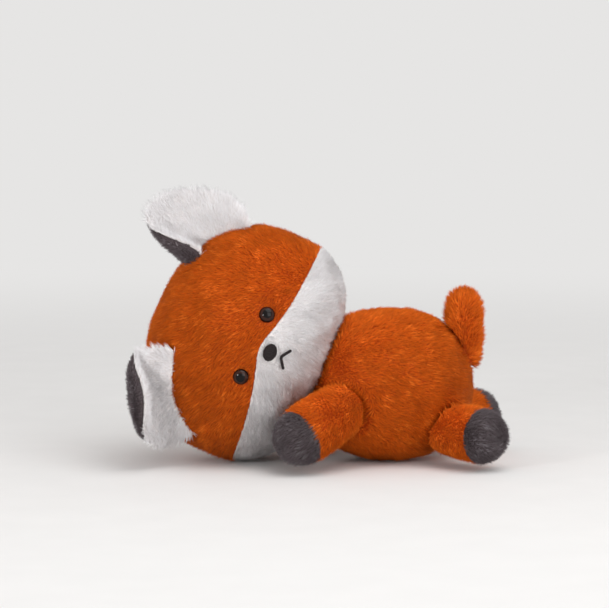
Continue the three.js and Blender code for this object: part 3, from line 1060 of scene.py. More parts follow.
class Workshop:
    """What every sub-assembly shares: the loaded frame, the finishes, the tufts and the pile's tree."""

    def __init__(self, frame: dict) -> None:
        """Makes the finishes and the tufts.

        Args:
            frame: the loaded model.
        """
        self.frame = frame
        self.joints = {joint["name"]: joint for joint in frame["joints"]}
        group = pile_colour_group()
        self.materials = {finish.slot: finish.material(group) for finish in (ORANGE, WHITE, GREY)}
        self.materials |= {finish.slot: finish.material() for finish in (FILLING, EYE, WASHER, THREAD)}
        self.tufts = TuftBox()
        self.tree = Growth().tree()
        self.planted = 0

    def joint_place(self, name: str) -> Vector:
        """Where a joint is."""
        return Vector(self.joints[name]["pos_m"])

    def joint_axis(self, name: str) -> Vector:
        """The direction that a joint turns about."""
        return Vector(self.joints[name]["axis"]).normalized()

    def joint_ends(self, name: str) -> list[float]:
        """The angles at both ends of a joint's range."""
        return [angle * DEGREE for angle in self.joints[name]["range_deg"]]

    def grow(
        self,
        cloth: bpy.types.Object,
        skin: bpy.types.Object,
        finish: PileFinish,
        nap: Field,
        thickness: Field,
        length: Field,
        lean: float,
    ) -> None:
        """Grows a pile on a skin, adds it to the cloth and colours both.

        Args:
            cloth: the shell that the pile becomes part of.
            skin: the solid that the pile grows on, which is then removed.
            finish: the pile's finish.
            nap: the way that the pile lies, for places of the skin.
            thickness: the share of the full number of tufts there, from 0 to 1.
            length: the share of the full hair length there.
            lean: how far the hairs lie down. 0 stands upright and 1 is halfway down.
        """
        put_in_order(skin.data)
        points, ways = places(skin.data), outward(skin.data)
        lying = nap(points)
        lying = unit(lying - ways * (lying * ways).sum(1, keepdims=True))
        write_values(skin.data, "nap", lying)
        write_values(skin.data, "thickness", thickness(points))
        write_values(skin.data, "length", length(points))
        step = cloth.modifiers.new("pile", "NODES")
        step.node_group = self.tree
        self.planted += 1
        spacing = TUFT_SPACING * 1
        values = {
            "Skin": skin,
            "Tufts": self.tufts.collection,
            "Number": TUFTS_TRIED / spacing**2,
            "Spacing": spacing,
            "Lean": lean,
            "Seed": self.planted,
        }
        for item in self.tree.interface.items_tree:
            if item.name in values and item.in_out == "INPUT":
                step[item.identifier] = values[item.name]
        settle(cloth)
        discard(skin)
        mesh = cloth.data
        for name in ("shade", "along", "aside", "nap", "thickness", "length"):
            if name in mesh.attributes:
                mesh.attributes.remove(mesh.attributes[name])
        self.dress(cloth, finish.slot)
        mesh.polygons.foreach_set("material_index", np.zeros(len(mesh.polygons), np.int32))

    def dress(self, piece: bpy.types.Object, slot: str) -> None:
        """Gives a piece the finish of one slot."""
        piece.data.materials.clear()
        piece.data.materials.append(self.materials[slot])

    def fit(self, piece: bpy.types.Object, slot: str, node: str, body: str) -> None:
        """Dresses a piece, stands it in for its solid and puts it on its body.

        Args:
            piece: the piece.
            slot: the slot of its finish.
            node: the solid's name.
            body: the body that it rides on.
        """
        self.dress(piece, slot)
        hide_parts(node)
        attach(piece, body)
        report(piece)


def everywhere(value: float) -> Field:
    """A field that has one value at all places."""
    return lambda points: np.full(len(points), value)


def away_from(place: Vector) -> Field:
    """A field that points away from a place."""
    return lambda points: points - np.array(place)


def shell_of(
    solid: Callable[[float, str], bpy.types.Object], name: str
) -> tuple[bpy.types.Object, bpy.types.Object]:
    """Makes a cloth shell and the skin that its pile grows on.

    Args:
        solid: makes the solid whose skin lies a given depth under the tips of the pile.
        name: the shell's name.

    Returns:
        The shell and the skin.
    """
    skin = solid(PILE_DEPTH, f"{name}_skin")
    cloth = twin(skin, name)
    carve(cloth, solid(PILE_DEPTH + BACKING, f"{name}_inside"), Cut.TAKE)
    return cloth, skin


def rod(frame: Matrix, radius: float, low: float, high: float, name: str) -> bpy.types.Object:
    """A round rod along a frame's y axis.

    Args:
        frame: the frame.
        radius: the rod's radius.
        low: where it starts on the axis.
        high: where it ends.
        name: the object's name.

    Returns:
        The rod.
    """
    shape = bmesh.new()
    bmesh.ops.create_cone(
        shape, cap_ends=True, segments=32, radius1=radius, radius2=radius, depth=high - low
    )
    bmesh.ops.rotate(shape, verts=shape.verts, matrix=Matrix.Rotation(math.pi / 2, 3, "X"))
    bmesh.ops.translate(shape, verts=shape.verts, vec=(0, (low + high) / 2, 0))
    bmesh.ops.transform(shape, matrix=frame, verts=shape.verts)
    return object_of(shape, name)


def tube(
    shape: bmesh.types.BMesh, places_along: Sequence[Vector], radii: Sequence[float], sides: int
) -> None:
    """Adds a thread: a round tube along some places, closed at both ends.

    Args:
        shape: the bmesh that gets it.
        places_along: the middle of the thread, from end to end.
        radii: its radius at each place.
        sides: faces once round.
    """
    poses = []
    for number, (place, radius) in enumerate(zip(places_along, radii)):
        last = places_along[max(0, number - 1)]
        after = places_along[min(len(places_along) - 1, number + 1)]
        aim = (after - last).to_track_quat("Z", "X").to_matrix().to_4x4()
        poses.append(Matrix.Translation(place) @ aim @ Matrix.Scale(radius, 4))
    verts = bmesh.ops.create_circle(shape, segments=sides, radius=1)["verts"]
    edges = list({edge for vertex in verts for edge in vertex.link_edges})
    bmesh.ops.transform(shape, matrix=poses[0], verts=verts)
    made = bmesh.ops.edgeloop_fill(shape, edges=edges)["faces"]
    for before, pose in zip(poses, poses[1:]):
        grown = bmesh.ops.extrude_edge_only(shape, edges=edges)["geom"]
        verts = [item for item in grown if isinstance(item, bmesh.types.BMVert)]
        made += [item for item in grown if isinstance(item, bmesh.types.BMFace)]
        ring = set(verts)
        ring = set(verts)
        kept = [item for item in grown if isinstance(item, bmesh.types.BMEdge)]
        edges = [edge for edge in kept if ring.issuperset(edge.verts)]
        bmesh.ops.transform(shape, matrix=pose @ before.inverted(), verts=verts)
    made += bmesh.ops.edgeloop_fill(shape, edges=edges)["faces"]
    bmesh.ops.recalc_face_normals(shape, faces=made)


def strip_inside(skin: bpy.types.Object, form: StuffedForm) -> None:
    """Removes the faces of a skin that are cut faces inside its form, where no pile grows.

    Args:
        skin: the skin.
        form: the form that its outside follows.
    """
    with opened(skin) as shape:
        faces = list(shape.faces)
        middles = np.array([face.calc_center_median() for face in faces])
        deep = (form.distance(middles) < -PILE_DEPTH) & (middles[:, 2] > PILE_DEPTH)
        bmesh.ops.delete(shape, geom=[f for f, d in zip(faces, deep) if d], context="FACES")


def thin_underneath(points: np.ndarray) -> np.ndarray:
    """The share of the full pile: less on the underside that the toy lies on, and 1 elsewhere."""
    return rising(points[:, 2], 0.35, 1.5 * MM, 4 * MM)


def pressed_off(form: StuffedForm, gap: float, points: np.ndarray) -> np.ndarray:
    """The share of the pile that is left where a form presses on it, up to a gap."""
    return smooth_share(form.distance(points), gap + PRESS_START, gap + PRESS_END)


class Head:
    """The head: an orange crown and a white muzzle, with a seam between them that dips to the nose."""

    width: float = 149 * MM
    depth: float = 116 * MM
    crown_height: float = 59 * MM
    chin_drop: float = 55 * MM
    chin_round: float = 3
    crown_round: float = 2.12
    seam_half: tuple[tuple[float, float], ...] = (
        (0, 0.205),
        (0.2, 0.27),
        (0.4, 0.335),
        (0.66, 0.38),
        (1.06, 0.41),
    )
    seam_steps: int = 8
    muzzle_back: float = 0.08
    muzzle_drop: float = 1.4
    nap_lean: float = 1.45
    nap_depth: float = 6 * MM
    crown_nap_from: tuple[float, float] = (62 * MM, -32 * MM)
    muzzle_nap_from: tuple[float, float] = (14 * MM, 2 * MM)
    bare_in_torso: tuple[float, float] = (-9 * MM, -5 * MM)
    neck_radius: float = 14 * MM
    neck_half_length: float = 14 * MM

    def __init__(self, shop: Workshop) -> None:
        """Finds the head's frame from the neck joint.

        Args:
            shop: the shared finishes and tools.
        """
        self.shop = shop
        up = shop.joint_axis("neck_turn")
        face = Vector((0, -math.cos(HEAD_LOOK_UP), math.sin(HEAD_LOOK_UP)))
        self.neck = shop.joint_place("neck_turn")
        self.form = StuffedForm(
            frame=frame_of(self.neck + up * self.chin_drop, up.cross(face), up),
            radius=self.width / 2,
            depth=self.depth / 2,
            low=self.chin_drop,
            high=self.crown_height,
            low_round=self.chin_round,
            high_round=self.crown_round,
        )

    def solid(self, depth: float, name: str) -> bpy.types.Object:
        """The head's whole solid, without the bore of its neck.

        Args:
            depth: how far its skin is under the tips of the pile.
            name: the object's name.

        Returns:
            The solid.
        """
        made = self.form.grown(-depth).solid(name, sides=96, steps=64)
        lay_down(made, depth - PILE_DEPTH + REST_PILE)
        stuff_unevenly(made, LUMP_DEPTH, LUMP_SIZE)
        return made

    def neck_bore(self) -> bpy.types.Object:
        """The hole that the neck's filling passes through, in the head's cover and the torso's."""
        low, high = (by * self.neck_half_length - self.chin_drop for by in (-1, 1))
        return rod(self.form.frame, self.neck_radius + SEAM_GAP, low, high, "neck_bore")

    def seam_line(self) -> list[Vector]:
        """The seam seen from the front: places in the head's own x and y, as a smooth curve."""
        half = [Vector((x * self.width / 2, -y * self.chin_drop)) for x, y in self.seam_half]
        points = [*(Vector((-place.x, place.y)) for place in reversed(half[1:])), *half]
        ends = [points[0] * 2 - points[1], *points, points[-1] * 2 - points[-2]]
        line = []
        for before, start, end, after in zip(ends, ends[1:], ends[2:], ends[3:]):
            for step in range(self.seam_steps):
                t = step / self.seam_steps
                slope = (end - before) * t + (2 * before - 5 * start + 4 * end - after) * t**2
                line.append(start + (slope + (3 * start - before - 3 * end + after) * t**3) / 2)
        return [*line, points[-1]]

    def muzzle_block(self, gap: float) -> bpy.types.Object:
        """The block that holds the white panel: below the seam and in front of the cheeks.

        Args:
            gap: how far the block is grown.

        Returns:
            The block, in the head's place.
        """
        line = [Vector((place.x, place.y + gap)) for place in self.seam_line()]
        low = -self.chin_drop * self.muzzle_drop
        back = -self.muzzle_back * self.depth - gap
        corners = [Vector((line[-1].x, low)), Vector((line[0].x, low)), *line]
        shape = bmesh.new()
        face = shape.faces.new([shape.verts.new((*corner, back)) for corner in corners])
        front = bmesh.ops.extrude_face_region(shape, geom=[face])
        moved = [item for item in front["geom"] if isinstance(item, bmesh.types.BMVert)]
        bmesh.ops.translate(shape, verts=moved, vec=(0, 0, self.depth))
        bmesh.ops.recalc_face_normals(shape, faces=shape.faces)
        bmesh.ops.transform(shape, matrix=self.form.frame, verts=shape.verts)
        return object_of(shape, "muzzle_block")

    def seat(self, across: float, up: float) -> Matrix:
        """A frame on the tips of the face's pile, with z out of the face and y towards the crown."""
        place = self.form.on_skin(across, up)
        out = Vector(self.form.way_out(np.array([place]))[0])
        crown = self.form.frame.to_3x3() @ Vector((0, 1, 0))
        return frame_of(place, crown.cross(out), crown)

    def top(self, across: float, forward: float) -> Vector:
        """The place of the skin above a point of the head's level middle plane, in its own frame."""
        out = math.hypot(across, forward * self.width / self.depth) / (self.width / 2)
        up = self.crown_height * (1 - out**self.crown_round) ** (1 / self.crown_round)
        return Vector((across, up, forward))

    def through_turn(self) -> list[StuffedForm]:
        """The head's form at rest and at both ends of the neck's turn."""
        axis, ends = self.shop.joint_axis("neck_turn"), self.shop.joint_ends("neck_turn")
        return [self.form.swung(self.neck, axis, angle) for angle in (0, *ends)]

    def build(self, face: "Face", torso: StuffedForm) -> None:
        """Makes both covers and grows their pile round the face.

        Args:
            face: the eyes, nose and mouth that the pile makes room for.
            torso: the form that hides the head's pile where it presses on it.
        """
        inwards = self.form.frame.to_3x3() @ Vector((0, 0, -1))

        def thickness(points: np.ndarray) -> np.ndarray:
            """Full, but for the eyes, the nose, the underside and where the torso presses."""
            free = smooth_share(torso.distance(points), *self.bare_in_torso)
            return thin_underneath(points) * face.room(points) * free

        shell, whole = shell_of(self.solid, "head_shell")
        carve(shell, self.neck_bore(), Cut.TAKE)
        for name, finish, gap, how, start in (
            ("head_crown", ORANGE, SEAM_GAP, Cut.TAKE, self.crown_nap_from),
            ("head_muzzle", WHITE, 0.0, Cut.KEEP, self.muzzle_nap_from),
        ):
            nap = away_from(self.form.on_skin(*start) + inwards * self.nap_depth)
            cloth, skin = twin(shell, f"{name}_plush"), twin(whole, f"{name}_skin")
            for piece in (cloth, skin):
                carve(piece, self.muzzle_block(gap), how)
            strip_inside(skin, self.form.grown(-PILE_DEPTH))
            self.shop.grow(cloth, skin, finish, nap, thickness, face.length, self.nap_lean)
            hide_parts(f"{name}_cover")
            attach(cloth, "head")
            report(cloth)
        discard(shell)
        discard(whole)


class Face:
    """The eyes, the nose and the mouth."""

    eye_spacing: float = 42 * MM
    eye_drop: float = 7.5 * MM
    eye_radius: float = 4.9 * MM
    eye_dome: float = 3.4 * MM
    eye_rim: float = 1.0 * MM
    eye_sink: float = 3.2 * MM
    eye_stem: float = 1.4 * MM
    eye_stem_length: float = 7.8 * MM
    eye_steps: int = 14
    nose_width: float = 10.8 * MM
    nose_height: float = 7.9 * MM
    nose_drop: float = 18.2 * MM
    nose_rise: float = 1.0 * MM
    nose_tuck: float = 1.4 * MM
    nose_threads: int = 24
    pad_share: float = 0.96
    pad_rise: float = 0.8
    mouth_drop: float = 25.5 * MM
    mouth_sink: float = 0.5 * MM
    mouth_leg_drop: float = 4.1 * MM
    mouth_leg_spread: float = 6.2 * MM
    mouth_thread: float = 0.85 * MM
    mouth_stitches: int = 4
    stitch_lap: float = 0.06
    stitch_steps: int = 8

    def __init__(self, shop: Workshop, head: Head) -> None:
        """Finds the seats of the eyes and the nose.

        Args:
            shop: the shared finishes and tools.
            head: the head that they are on.
        """
        self.shop = shop
        self.head = head
        self.eye_seats = {
            side: head.seat(side.value * self.eye_spacing / 2, -self.eye_drop) for side in Side
        }
        self.nose_seat = head.seat(0, -self.nose_drop)

    def mouth_place(self, side: Side, share: float) -> Vector:
        """A place along one stroke of the mouth, from its middle at 0 to its end at 1."""
        across = side.value * share * self.mouth_leg_spread
        drop = self.mouth_drop + self.mouth_leg_drop * share**1.15
        return self.head.seat(across, -drop) @ Vector((0, 0, -self.mouth_sink))

    def clearance(self, points: np.ndarray) -> tuple[np.ndarray, np.ndarray, np.ndarray]:
        """How far points are from the eyes' rims, the nose's edge and the mouth's line.

        Args:
            points: places on the head's skin.

        Returns:
            Three distances a point, in metres, and less than 0 inside.
        """
        eyes = [
            np.hypot(*in_frame(points, seat)[:, :2].T) - self.eye_radius
            for seat in self.eye_seats.values()
        ]
        own = in_frame(points, self.nose_seat)
        out = np.hypot(own[:, 0] / self.nose_width, own[:, 1] / self.nose_height) * 2
        nose = (out - 1) * self.nose_height / 2
        line = [self.mouth_place(side, step / 6) for side in Side for step in range(7)]
        mouth = np.min([np.linalg.norm(points - np.array(p), axis=1) for p in line], axis=0)
        behind = in_frame(points, self.head.form.frame)[:, 2] < 0
        far = [np.where(behind, 1.0, value) for value in (np.min(eyes, axis=0), nose)]
        return far[0], far[1], mouth - PILE_DEPTH

    def room(self, points: np.ndarray) -> np.ndarray:
        """The share of the pile that the eyes and the nose leave."""
        eyes, nose, _ = self.clearance(points)
        return smooth_share(eyes, -0.8 * MM, 0) * smooth_share(nose, -1.2 * MM, -0.4 * MM)

    def length(self, points: np.ndarray) -> np.ndarray:
        """The share of the hairs' length that is left after the face is trimmed."""
        eyes, nose, mouth = self.clearance(points)
        shares = (
            rising(eyes, 0.55, 0.5 * MM, 6 * MM),
            rising(nose, 0.45, 0, 7 * MM),
            rising(mouth, 0.62, 0, 3 * MM),
        )
        return np.min(shares, axis=0)

    def build_eye(self, side: Side) -> None:
        """Makes one eye, a domed button on its stem.

        Args:
            side: which eye.
        """
        outline = [(0.0, -self.eye_stem_length), (self.eye_stem, -self.eye_stem_length)]
        outline += [(self.eye_stem, -0.2 * MM), (self.eye_stem * 1.3, 0.0)]
        outline += [(self.eye_radius * 0.94, 0.0), (self.eye_radius, 0.3 * MM)]
        for step in range(self.eye_steps + 1):
            angle = step / self.eye_steps * math.pi / 2
            out = self.eye_radius * math.cos(angle) if step < self.eye_steps else 0.0
            outline.append((out, self.eye_rim + self.eye_dome * math.sin(angle)))
        shape = lathed(outline, 56)
        share = shape.verts.layers.float.new("from_middle")
        for vertex in shape.verts:
            vertex[share] = vertex.co.xy.length / self.eye_radius
        seat = self.eye_seats[side] @ Matrix.Translation((0, 0, -self.eye_sink))
        bmesh.ops.transform(shape, matrix=seat, verts=shape.verts)
        made = object_of(shape, f"eye_{side.word}_button")
        self.shop.fit(made, EYE.slot, f"eye_{side.word}", "head")

    def build_nose(self) -> None:
        """Makes the nose: satin stitches side by side over an oval pad."""
        steps = self.stitch_steps
        angles = [step / steps * math.pi / 2 for step in range(steps)]
        outline = [(0.9, -3.0), *((math.cos(angle), math.sin(angle)) for angle in angles), (0.0, 1.0)]
        shape = lathed(outline, 32)
        pad = self.pad_share / 2
        size = (self.nose_width * pad, self.nose_height * pad, self.nose_rise * self.pad_rise)
        bmesh.ops.scale(shape, vec=size, verts=shape.verts)
        radius = self.nose_width / self.nose_threads * 0.56
        dice = np.random.default_rng(21)
        for number in range(self.nose_threads):
            across = (number + 0.5) / self.nose_threads * 2 - 1
            bulge = math.sqrt(1 - across**2)
            half = bulge * dice.uniform(0.97, 1.03) * self.nose_height / 2
            line = []
            for step in range(steps + 1):
                angle = (step / steps - 0.5) * math.pi
                lean = dice.uniform(-0.04, 0.04) * MM
                tuck = self.nose_tuck * (1 - math.cos(angle)) ** 3
                up = bulge * math.cos(angle) * self.nose_rise - tuck
                line.append(Vector((across * self.nose_width / 2 + lean, half * math.sin(angle), up)))
            tube(shape, line, [radius] * len(line), 6)
        bmesh.ops.transform(shape, matrix=self.nose_seat, verts=shape.verts)
        made = object_of(shape, "nose_satin_stitches")
        self.shop.fit(made, THREAD.slot, "nose_embroidery", "head")

    def build_mouth(self) -> None:
        """Makes the mouth: two strokes of stitches that overlap, each of a few plies."""
        shape = bmesh.new()
        for side in Side:
            for number in range(self.mouth_stitches):
                start = max(0.0, number / self.mouth_stitches - self.stitch_lap)
                end = min(1.0, (number + 1) / self.mouth_stitches + self.stitch_lap)
                for ply in (-1, 0, 1):
                    self.add_ply(shape, side, (start, end), ply)
        made = object_of(shape, "mouth_back_stitches")
        self.shop.fit(made, THREAD.slot, "mouth_stitches", "head")

    def add_ply(
        self, shape: bmesh.types.BMesh, side: Side, shares: tuple[float, float], ply: int
    ) -> None:
        """Adds one ply of a stitch, laid beside the others and pulled down at its ends.

        Args:
            shape: the mouth.
            side: which stroke.
            shares: where the stitch starts and ends along the stroke.
            ply: -1 or 1 for the plies at the sides and 0 for the one on top of them.
        """
        thread = self.mouth_thread
        line, radii = [], []
        out = self.nose_seat.to_3x3() @ Vector((0, 0, 1))
        for step in range(self.stitch_steps + 1):
            t = step / self.stitch_steps
            share = shares[0] + (shares[1] - shares[0]) * t
            before = self.mouth_place(side, max(0.0, share - 0.05))
            after = self.mouth_place(side, share + 0.05)
            across = (after - before).cross(out).normalized()
            end = abs(2 * t - 1)
            turn = ply * (1 - 0.5 * end**3) * thread * 0.62
            rise = 0.3 * thread * (1 - abs(ply)) - 0.6 * thread * end**4
            line.append(self.mouth_place(side, share) + across * turn + out * rise)
            radii.append(thread * (0.48 - 0.1 * end**3))
        tube(shape, line, radii, 8)

    def build(self) -> None:
        """Makes the whole face and finishes the washers behind it."""
        for side in Side:
            self.build_eye(side)
            washer = self.shop.frame["nodes"][f"eye_washer_{side.word}"]
            for place in washer.material_slots:
                place.material = self.shop.materials[WASHER.slot]
        self.build_nose()
        self.build_mouth()


@dataclass(frozen=True)
class EarPose:
    """How one ear sits on the head, and how its leaf is curled.

    Attributes:
        forward: how far in front of the head's middle its root is.
        turn: how far its root line is swung about the head's front.
        fold: how far it is turned forward about its root.
        twist: how far its middle is turned about its length.
        root_curl: how far its inner edge rolls forward at the root.
        tip_curl: how far it rolls forward at the tip.
        bend: how far the tip is bent over forward.
    """

    forward: float
    turn: float
    fold: float
    twist: float
    root_curl: float
    tip_curl: float
    bend: float


LEFT_EAR = EarPose(
    forward=3 * MM,
    turn=0,
    fold=11 * DEGREE,
    twist=12 * DEGREE,
    root_curl=260 * DEGREE,
    tip_curl=18 * DEGREE,
    bend=0,
)
RIGHT_EAR = EarPose(
    forward=33 * MM,
    turn=-5 * DEGREE,
    fold=5 * DEGREE,
    twist=20 * DEGREE,
    root_curl=20 * DEGREE,
    tip_curl=0,
    bend=150 * DEGREE,
)


class Ear:
    """An ear: a white panel in front and a grey one behind, sewn rim to rim and curled to a cup."""

    width: float = 61 * MM
    inner_share: float = 1.25
    outer_share: float = 1.12
    length: float = 40 * MM
    rake: float = 0.33
    root: float = 30 * MM
    root_overlap: float = 0.4 * MM
    thickness: float = 11 * MM
    back_fullness: float = 1.8 * MM
    across: float = 49 * MM
    slant: float = 0.07
    curl_sharpness: float = 3.2
    setback: float = 0.15
    bend_sharpness: float = 1.2
    rim_inset: float = 0.9
    back_inset: float = 0.035
    rings: int = 26
    sides: int = 104
    section_steps: int = 12
    trim_steps: int = 18
    trim_end: float = 0.95
    comb_grid: int = 25
    comb_from: float = -0.9
    comb_step: float = 0.02
    comb_blur: float = 1.5 * MM
    nap_lean: float = 1.3
    bend_start: float = 4 * MM
    bend_end: float = 10 * MM

    def __init__(self, shop: Workshop, head: Head, side: Side, pose: EarPose) -> None:
        """Finds the ear's frame on the head.

        Args:
            shop: the shared finishes and tools.
            head: the head that it is sewn to.
            side: which ear.
            pose: how it sits and curls.
        """
        self.shop = shop
        self.head = head
        self.side = side
        self.pose = pose
        across, ahead = side.value * self.across, Vector((0, 0, 1))
        line = head.top(across + SEAM_GAP, pose.forward) - head.top(across - SEAM_GAP, pose.forward)
        line = Matrix.Rotation(side.value * pose.turn, 3, ahead) @ line.normalized()
        out = Matrix.Rotation(pose.fold, 3, line) @ ahead.cross(line)
        self.frame = head.form.frame @ frame_of(head.top(across, pose.forward), line, out)

    def mapped(self, discs: np.ndarray, thick: np.ndarray) -> np.ndarray:
        """Spreads places of a flat round disc over the curled leaf.

        Args:
            discs: two numbers a point, its place on a disc of radius 1.
            thick: how far the point is in front of the leaf's middle.

        Returns:
            Places in the object's frame.
        """
        share = discs[:, 0]
        up = (self.length - self.root) / 2 + discs[:, 1] * (self.length + self.root) / 2
        grown = np.clip(up / self.length, 0, None)
        curl = self.pose.root_curl + (self.pose.tip_curl - self.pose.root_curl) * grown

        def heading(at: np.ndarray) -> np.ndarray:
            """Which way the curled section runs at a share of its half width."""
            return self.pose.twist + curl * (((1 - at) / 2) ** self.curl_sharpness - self.setback)

        step = share / self.section_steps
        reach = self.width / 2 * np.where(share < 0, self.inner_share, self.outer_share) * step
        aside, front = np.zeros_like(share), np.zeros_like(share)
        for number in range(self.section_steps):
            angle = heading((number + 0.5) * step)
            aside += np.cos(angle) * reach
            front -= np.sin(angle) * reach
        angle = heading(share)
        aside += thick * np.sin(angle) - self.slant * up
        front += thick * np.cos(angle)
        level, ahead, turned = self.bent(np.where(up > 0, up * (1 - self.rake * share), up))
        level, ahead = level - front * np.sin(turned), ahead + front * np.cos(turned)
        own = np.stack([self.side.value * aside, level, ahead], axis=1)
        return own @ np.array(self.frame.to_3x3()).T + np.array(self.frame.translation)

    def bent(self, up: np.ndarray) -> tuple[np.ndarray, np.ndarray, np.ndarray]:
        """Bends the leaf over forward.

        Args:
            up: heights along the flat leaf.

        Returns:
            How far up and how far forward each height comes, and how far it has turned there.
        """

        def turned(at: np.ndarray) -> np.ndarray:
            """How far the leaf has turned at a height."""
            return self.pose.bend * np.clip(at / self.length, 0, None) ** self.bend_sharpness

        level, ahead = np.zeros_like(up), np.zeros_like(up)
        for number in range(self.section_steps):
            angle = turned(up * (number + 0.5) / self.section_steps)
            level += np.cos(angle) * up / self.section_steps
            ahead += np.sin(angle) * up / self.section_steps
        return level, ahead, turned(up)

    def combed(self, points: np.ndarray) -> tuple[np.ndarray, np.ndarray]:
        """Finds how the pile lies on the leaf: from the middle of its root out to its rim.

        Args:
            points: places on either panel.

        Returns:
            The pile's way there, and how far out on the disc each place is.
        """
        lines = np.linspace(-1, 1, self.comb_grid)
        discs = np.stack(np.meshgrid(lines, lines), axis=-1).reshape(-1, 2)
        discs = discs[np.hypot(discs[:, 0], discs[:, 1]) <= 1]
        ways = discs - np.array([0, self.comb_from])
        ways /= np.linalg.norm(ways, axis=1, keepdims=True) + 1e-6
        flat = np.zeros(len(discs))
        here = self.mapped(discs, flat)
        ways = unit(here - self.mapped(discs - self.comb_step * ways, flat))
        apart = ((points[:, None, :] - here[None, :, :]) ** 2).sum(2)
        shares = 1 / (apart + self.comb_blur**2) ** 2
        shares /= shares.sum(1, keepdims=True)
        return shares @ ways, shares @ np.hypot(discs[:, 0], discs[:, 1])

    def trimmed(self, discs: np.ndarray, thick: np.ndarray, skin: StuffedForm) -> np.ndarray:
        """Slides what would be inside the head out along the leaf to the head's skin.

        Args:
            discs: two numbers a point, its place on the disc.
            thick: how far the point is in front of the leaf's middle.
            skin: the form that the leaf ends on.

        Returns:
            Places in the object's frame.
        """
        low = discs[:, 1].copy()
        high = np.full_like(low, self.trim_end)
        inside = skin.distance(self.mapped(discs, thick)) < 0
        for _ in range(self.trim_steps):
            middle = (low + high) / 2
            deep = skin.distance(self.mapped(np.stack([discs[:, 0], middle], axis=1), thick)) < 0
            low, high = np.where(deep, middle, low), np.where(deep, high, middle)
        level = np.where(inside, high, discs[:, 1])
        return self.mapped(np.stack([discs[:, 0], level], axis=1), thick)

    def panel(self, face: int, closed: bool, name: str) -> bpy.types.Object:
        """One panel of cloth, or only the side that its pile grows on.

        Args:
            face: 1 for the front panel and -1 for the back one.
            closed: whether the panel's inner side is made too.
            name: the object's name.

        Returns:
            The panel.
        """
        near, far = SEAM_GAP / 2, self.thickness / 2 - PILE_DEPTH
        if face < 0:
            far += self.back_fullness
        rim = [math.sin(step / self.rings * math.pi / 2) for step in range(self.rings + 1)]
        outline = [(r, near + (far - near) * (1 - r**3) ** (1 / 3)) for r in rim]
        outline += [(r, near) for r in reversed(rim[:-1])] if closed else []
        made = object_of(lathed(outline, self.sides), name)
        flat = places(made.data)
        skin = self.head.form.grown(self.root_overlap - PILE_DEPTH)
        inset = self.rim_inset - (self.back_inset if face < 0 else 0)
        set_places(made.data, self.trimmed(flat[:, :2] * inset, face * flat[:, 2], skin))
        with opened(made) as shape:
            bmesh.ops.remove_doubles(shape, verts=shape.verts, dist=3 * TOUCHING)
            if closed:
                bmesh.ops.recalc_face_normals(shape, faces=shape.faces)
            elif self.turned_inwards(shape, face):
                bmesh.ops.reverse_faces(shape, faces=shape.faces)
        return made

    def turned_inwards(self, shape: bmesh.types.BMesh, face: int) -> bool:
        """Whether an open panel's faces look at the other panel instead of away from it."""
        discs = np.array([[0.0, 0.3]] * 2)
        middle, front = (Vector(place) for place in self.mapped(discs, np.array([0.0, face * MM])))
        nearest = min(shape.faces, key=lambda f: (f.calc_center_median() - middle).length)
        nearest.normal_update()
        return nearest.normal.dot(front - middle) < 0

    def build(self) -> None:
        """Makes both panels with their pile."""
        rooted = self.head.form.grown(-PILE_DEPTH)
        for face, word, finish, rim in ((1, "front", WHITE, 1.35), (-1, "back", GREY, 0.4)):
            name = f"ear_{self.side.word}_{word}"
            cloth = self.panel(face, True, f"{name}_plush")
            skin = self.panel(face, False, f"{name}_skin")

            def length(points: np.ndarray) -> np.ndarray:
                """Shorter down at the seam, and near the rim long in front and short behind."""
                near = smooth_share(self.combed(points)[1], 0.62, 0.9)
                full = 0.7 + 0.25 * smooth_share(rooted.distance(points), 0, 5 * MM)
                return full + (rim - full) * near

            def nap(points: np.ndarray) -> np.ndarray:
                """From the middle of the root out to the rim."""
                return self.combed(points)[0]

            def thickness(points: np.ndarray) -> np.ndarray:
                """Full, but for the underside and, behind, the very rim."""
                rimmed = smooth_share(self.combed(points)[1], 0.82, 0.87)
                return thin_underneath(points) * (1 - rimmed if finish is GREY else 1)

            self.shop.grow(cloth, skin, finish, nap, thickness, length, self.nap_lean)
            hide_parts(name)
            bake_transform(cloth)
            report(cloth)


@dataclass(frozen=True)
class LimbShape:
    """The measures of a limb or the tail.

    Attributes:
        length: from its joint to its tip.
        radius: half its width at its widest.
        girth: how far from the joint that is.
        root_radius: the radius of the ball that its joint is in.
        root_drop: how far its form reaches behind the joint.
        root_round: how full its root half is. 2 is an ellipse, and more is squarer.
        tip_round: how full its tip half is.
        cap_length: the length of the grey cap over its tip, or 0 where it has none.
    """

    length: float
    radius: float
    girth: float
    root_radius: float
    root_drop: float
    root_round: float
    tip_round: float
    cap_length: float


ARM = LimbShape(57 * MM, 19.6 * MM, 29 * MM, 14 * MM, 13 * MM, 2.6, 2.4, 19 * MM)
LEG = LimbShape(46 * MM, 18.4 * MM, 26 * MM, 14 * MM, 14 * MM, 2.6, 2.3, 19 * MM)
TAIL = LimbShape(41 * MM, 12.8 * MM, 15 * MM, 12 * MM, 8 * MM, 2.6, 2.8, 0.0)


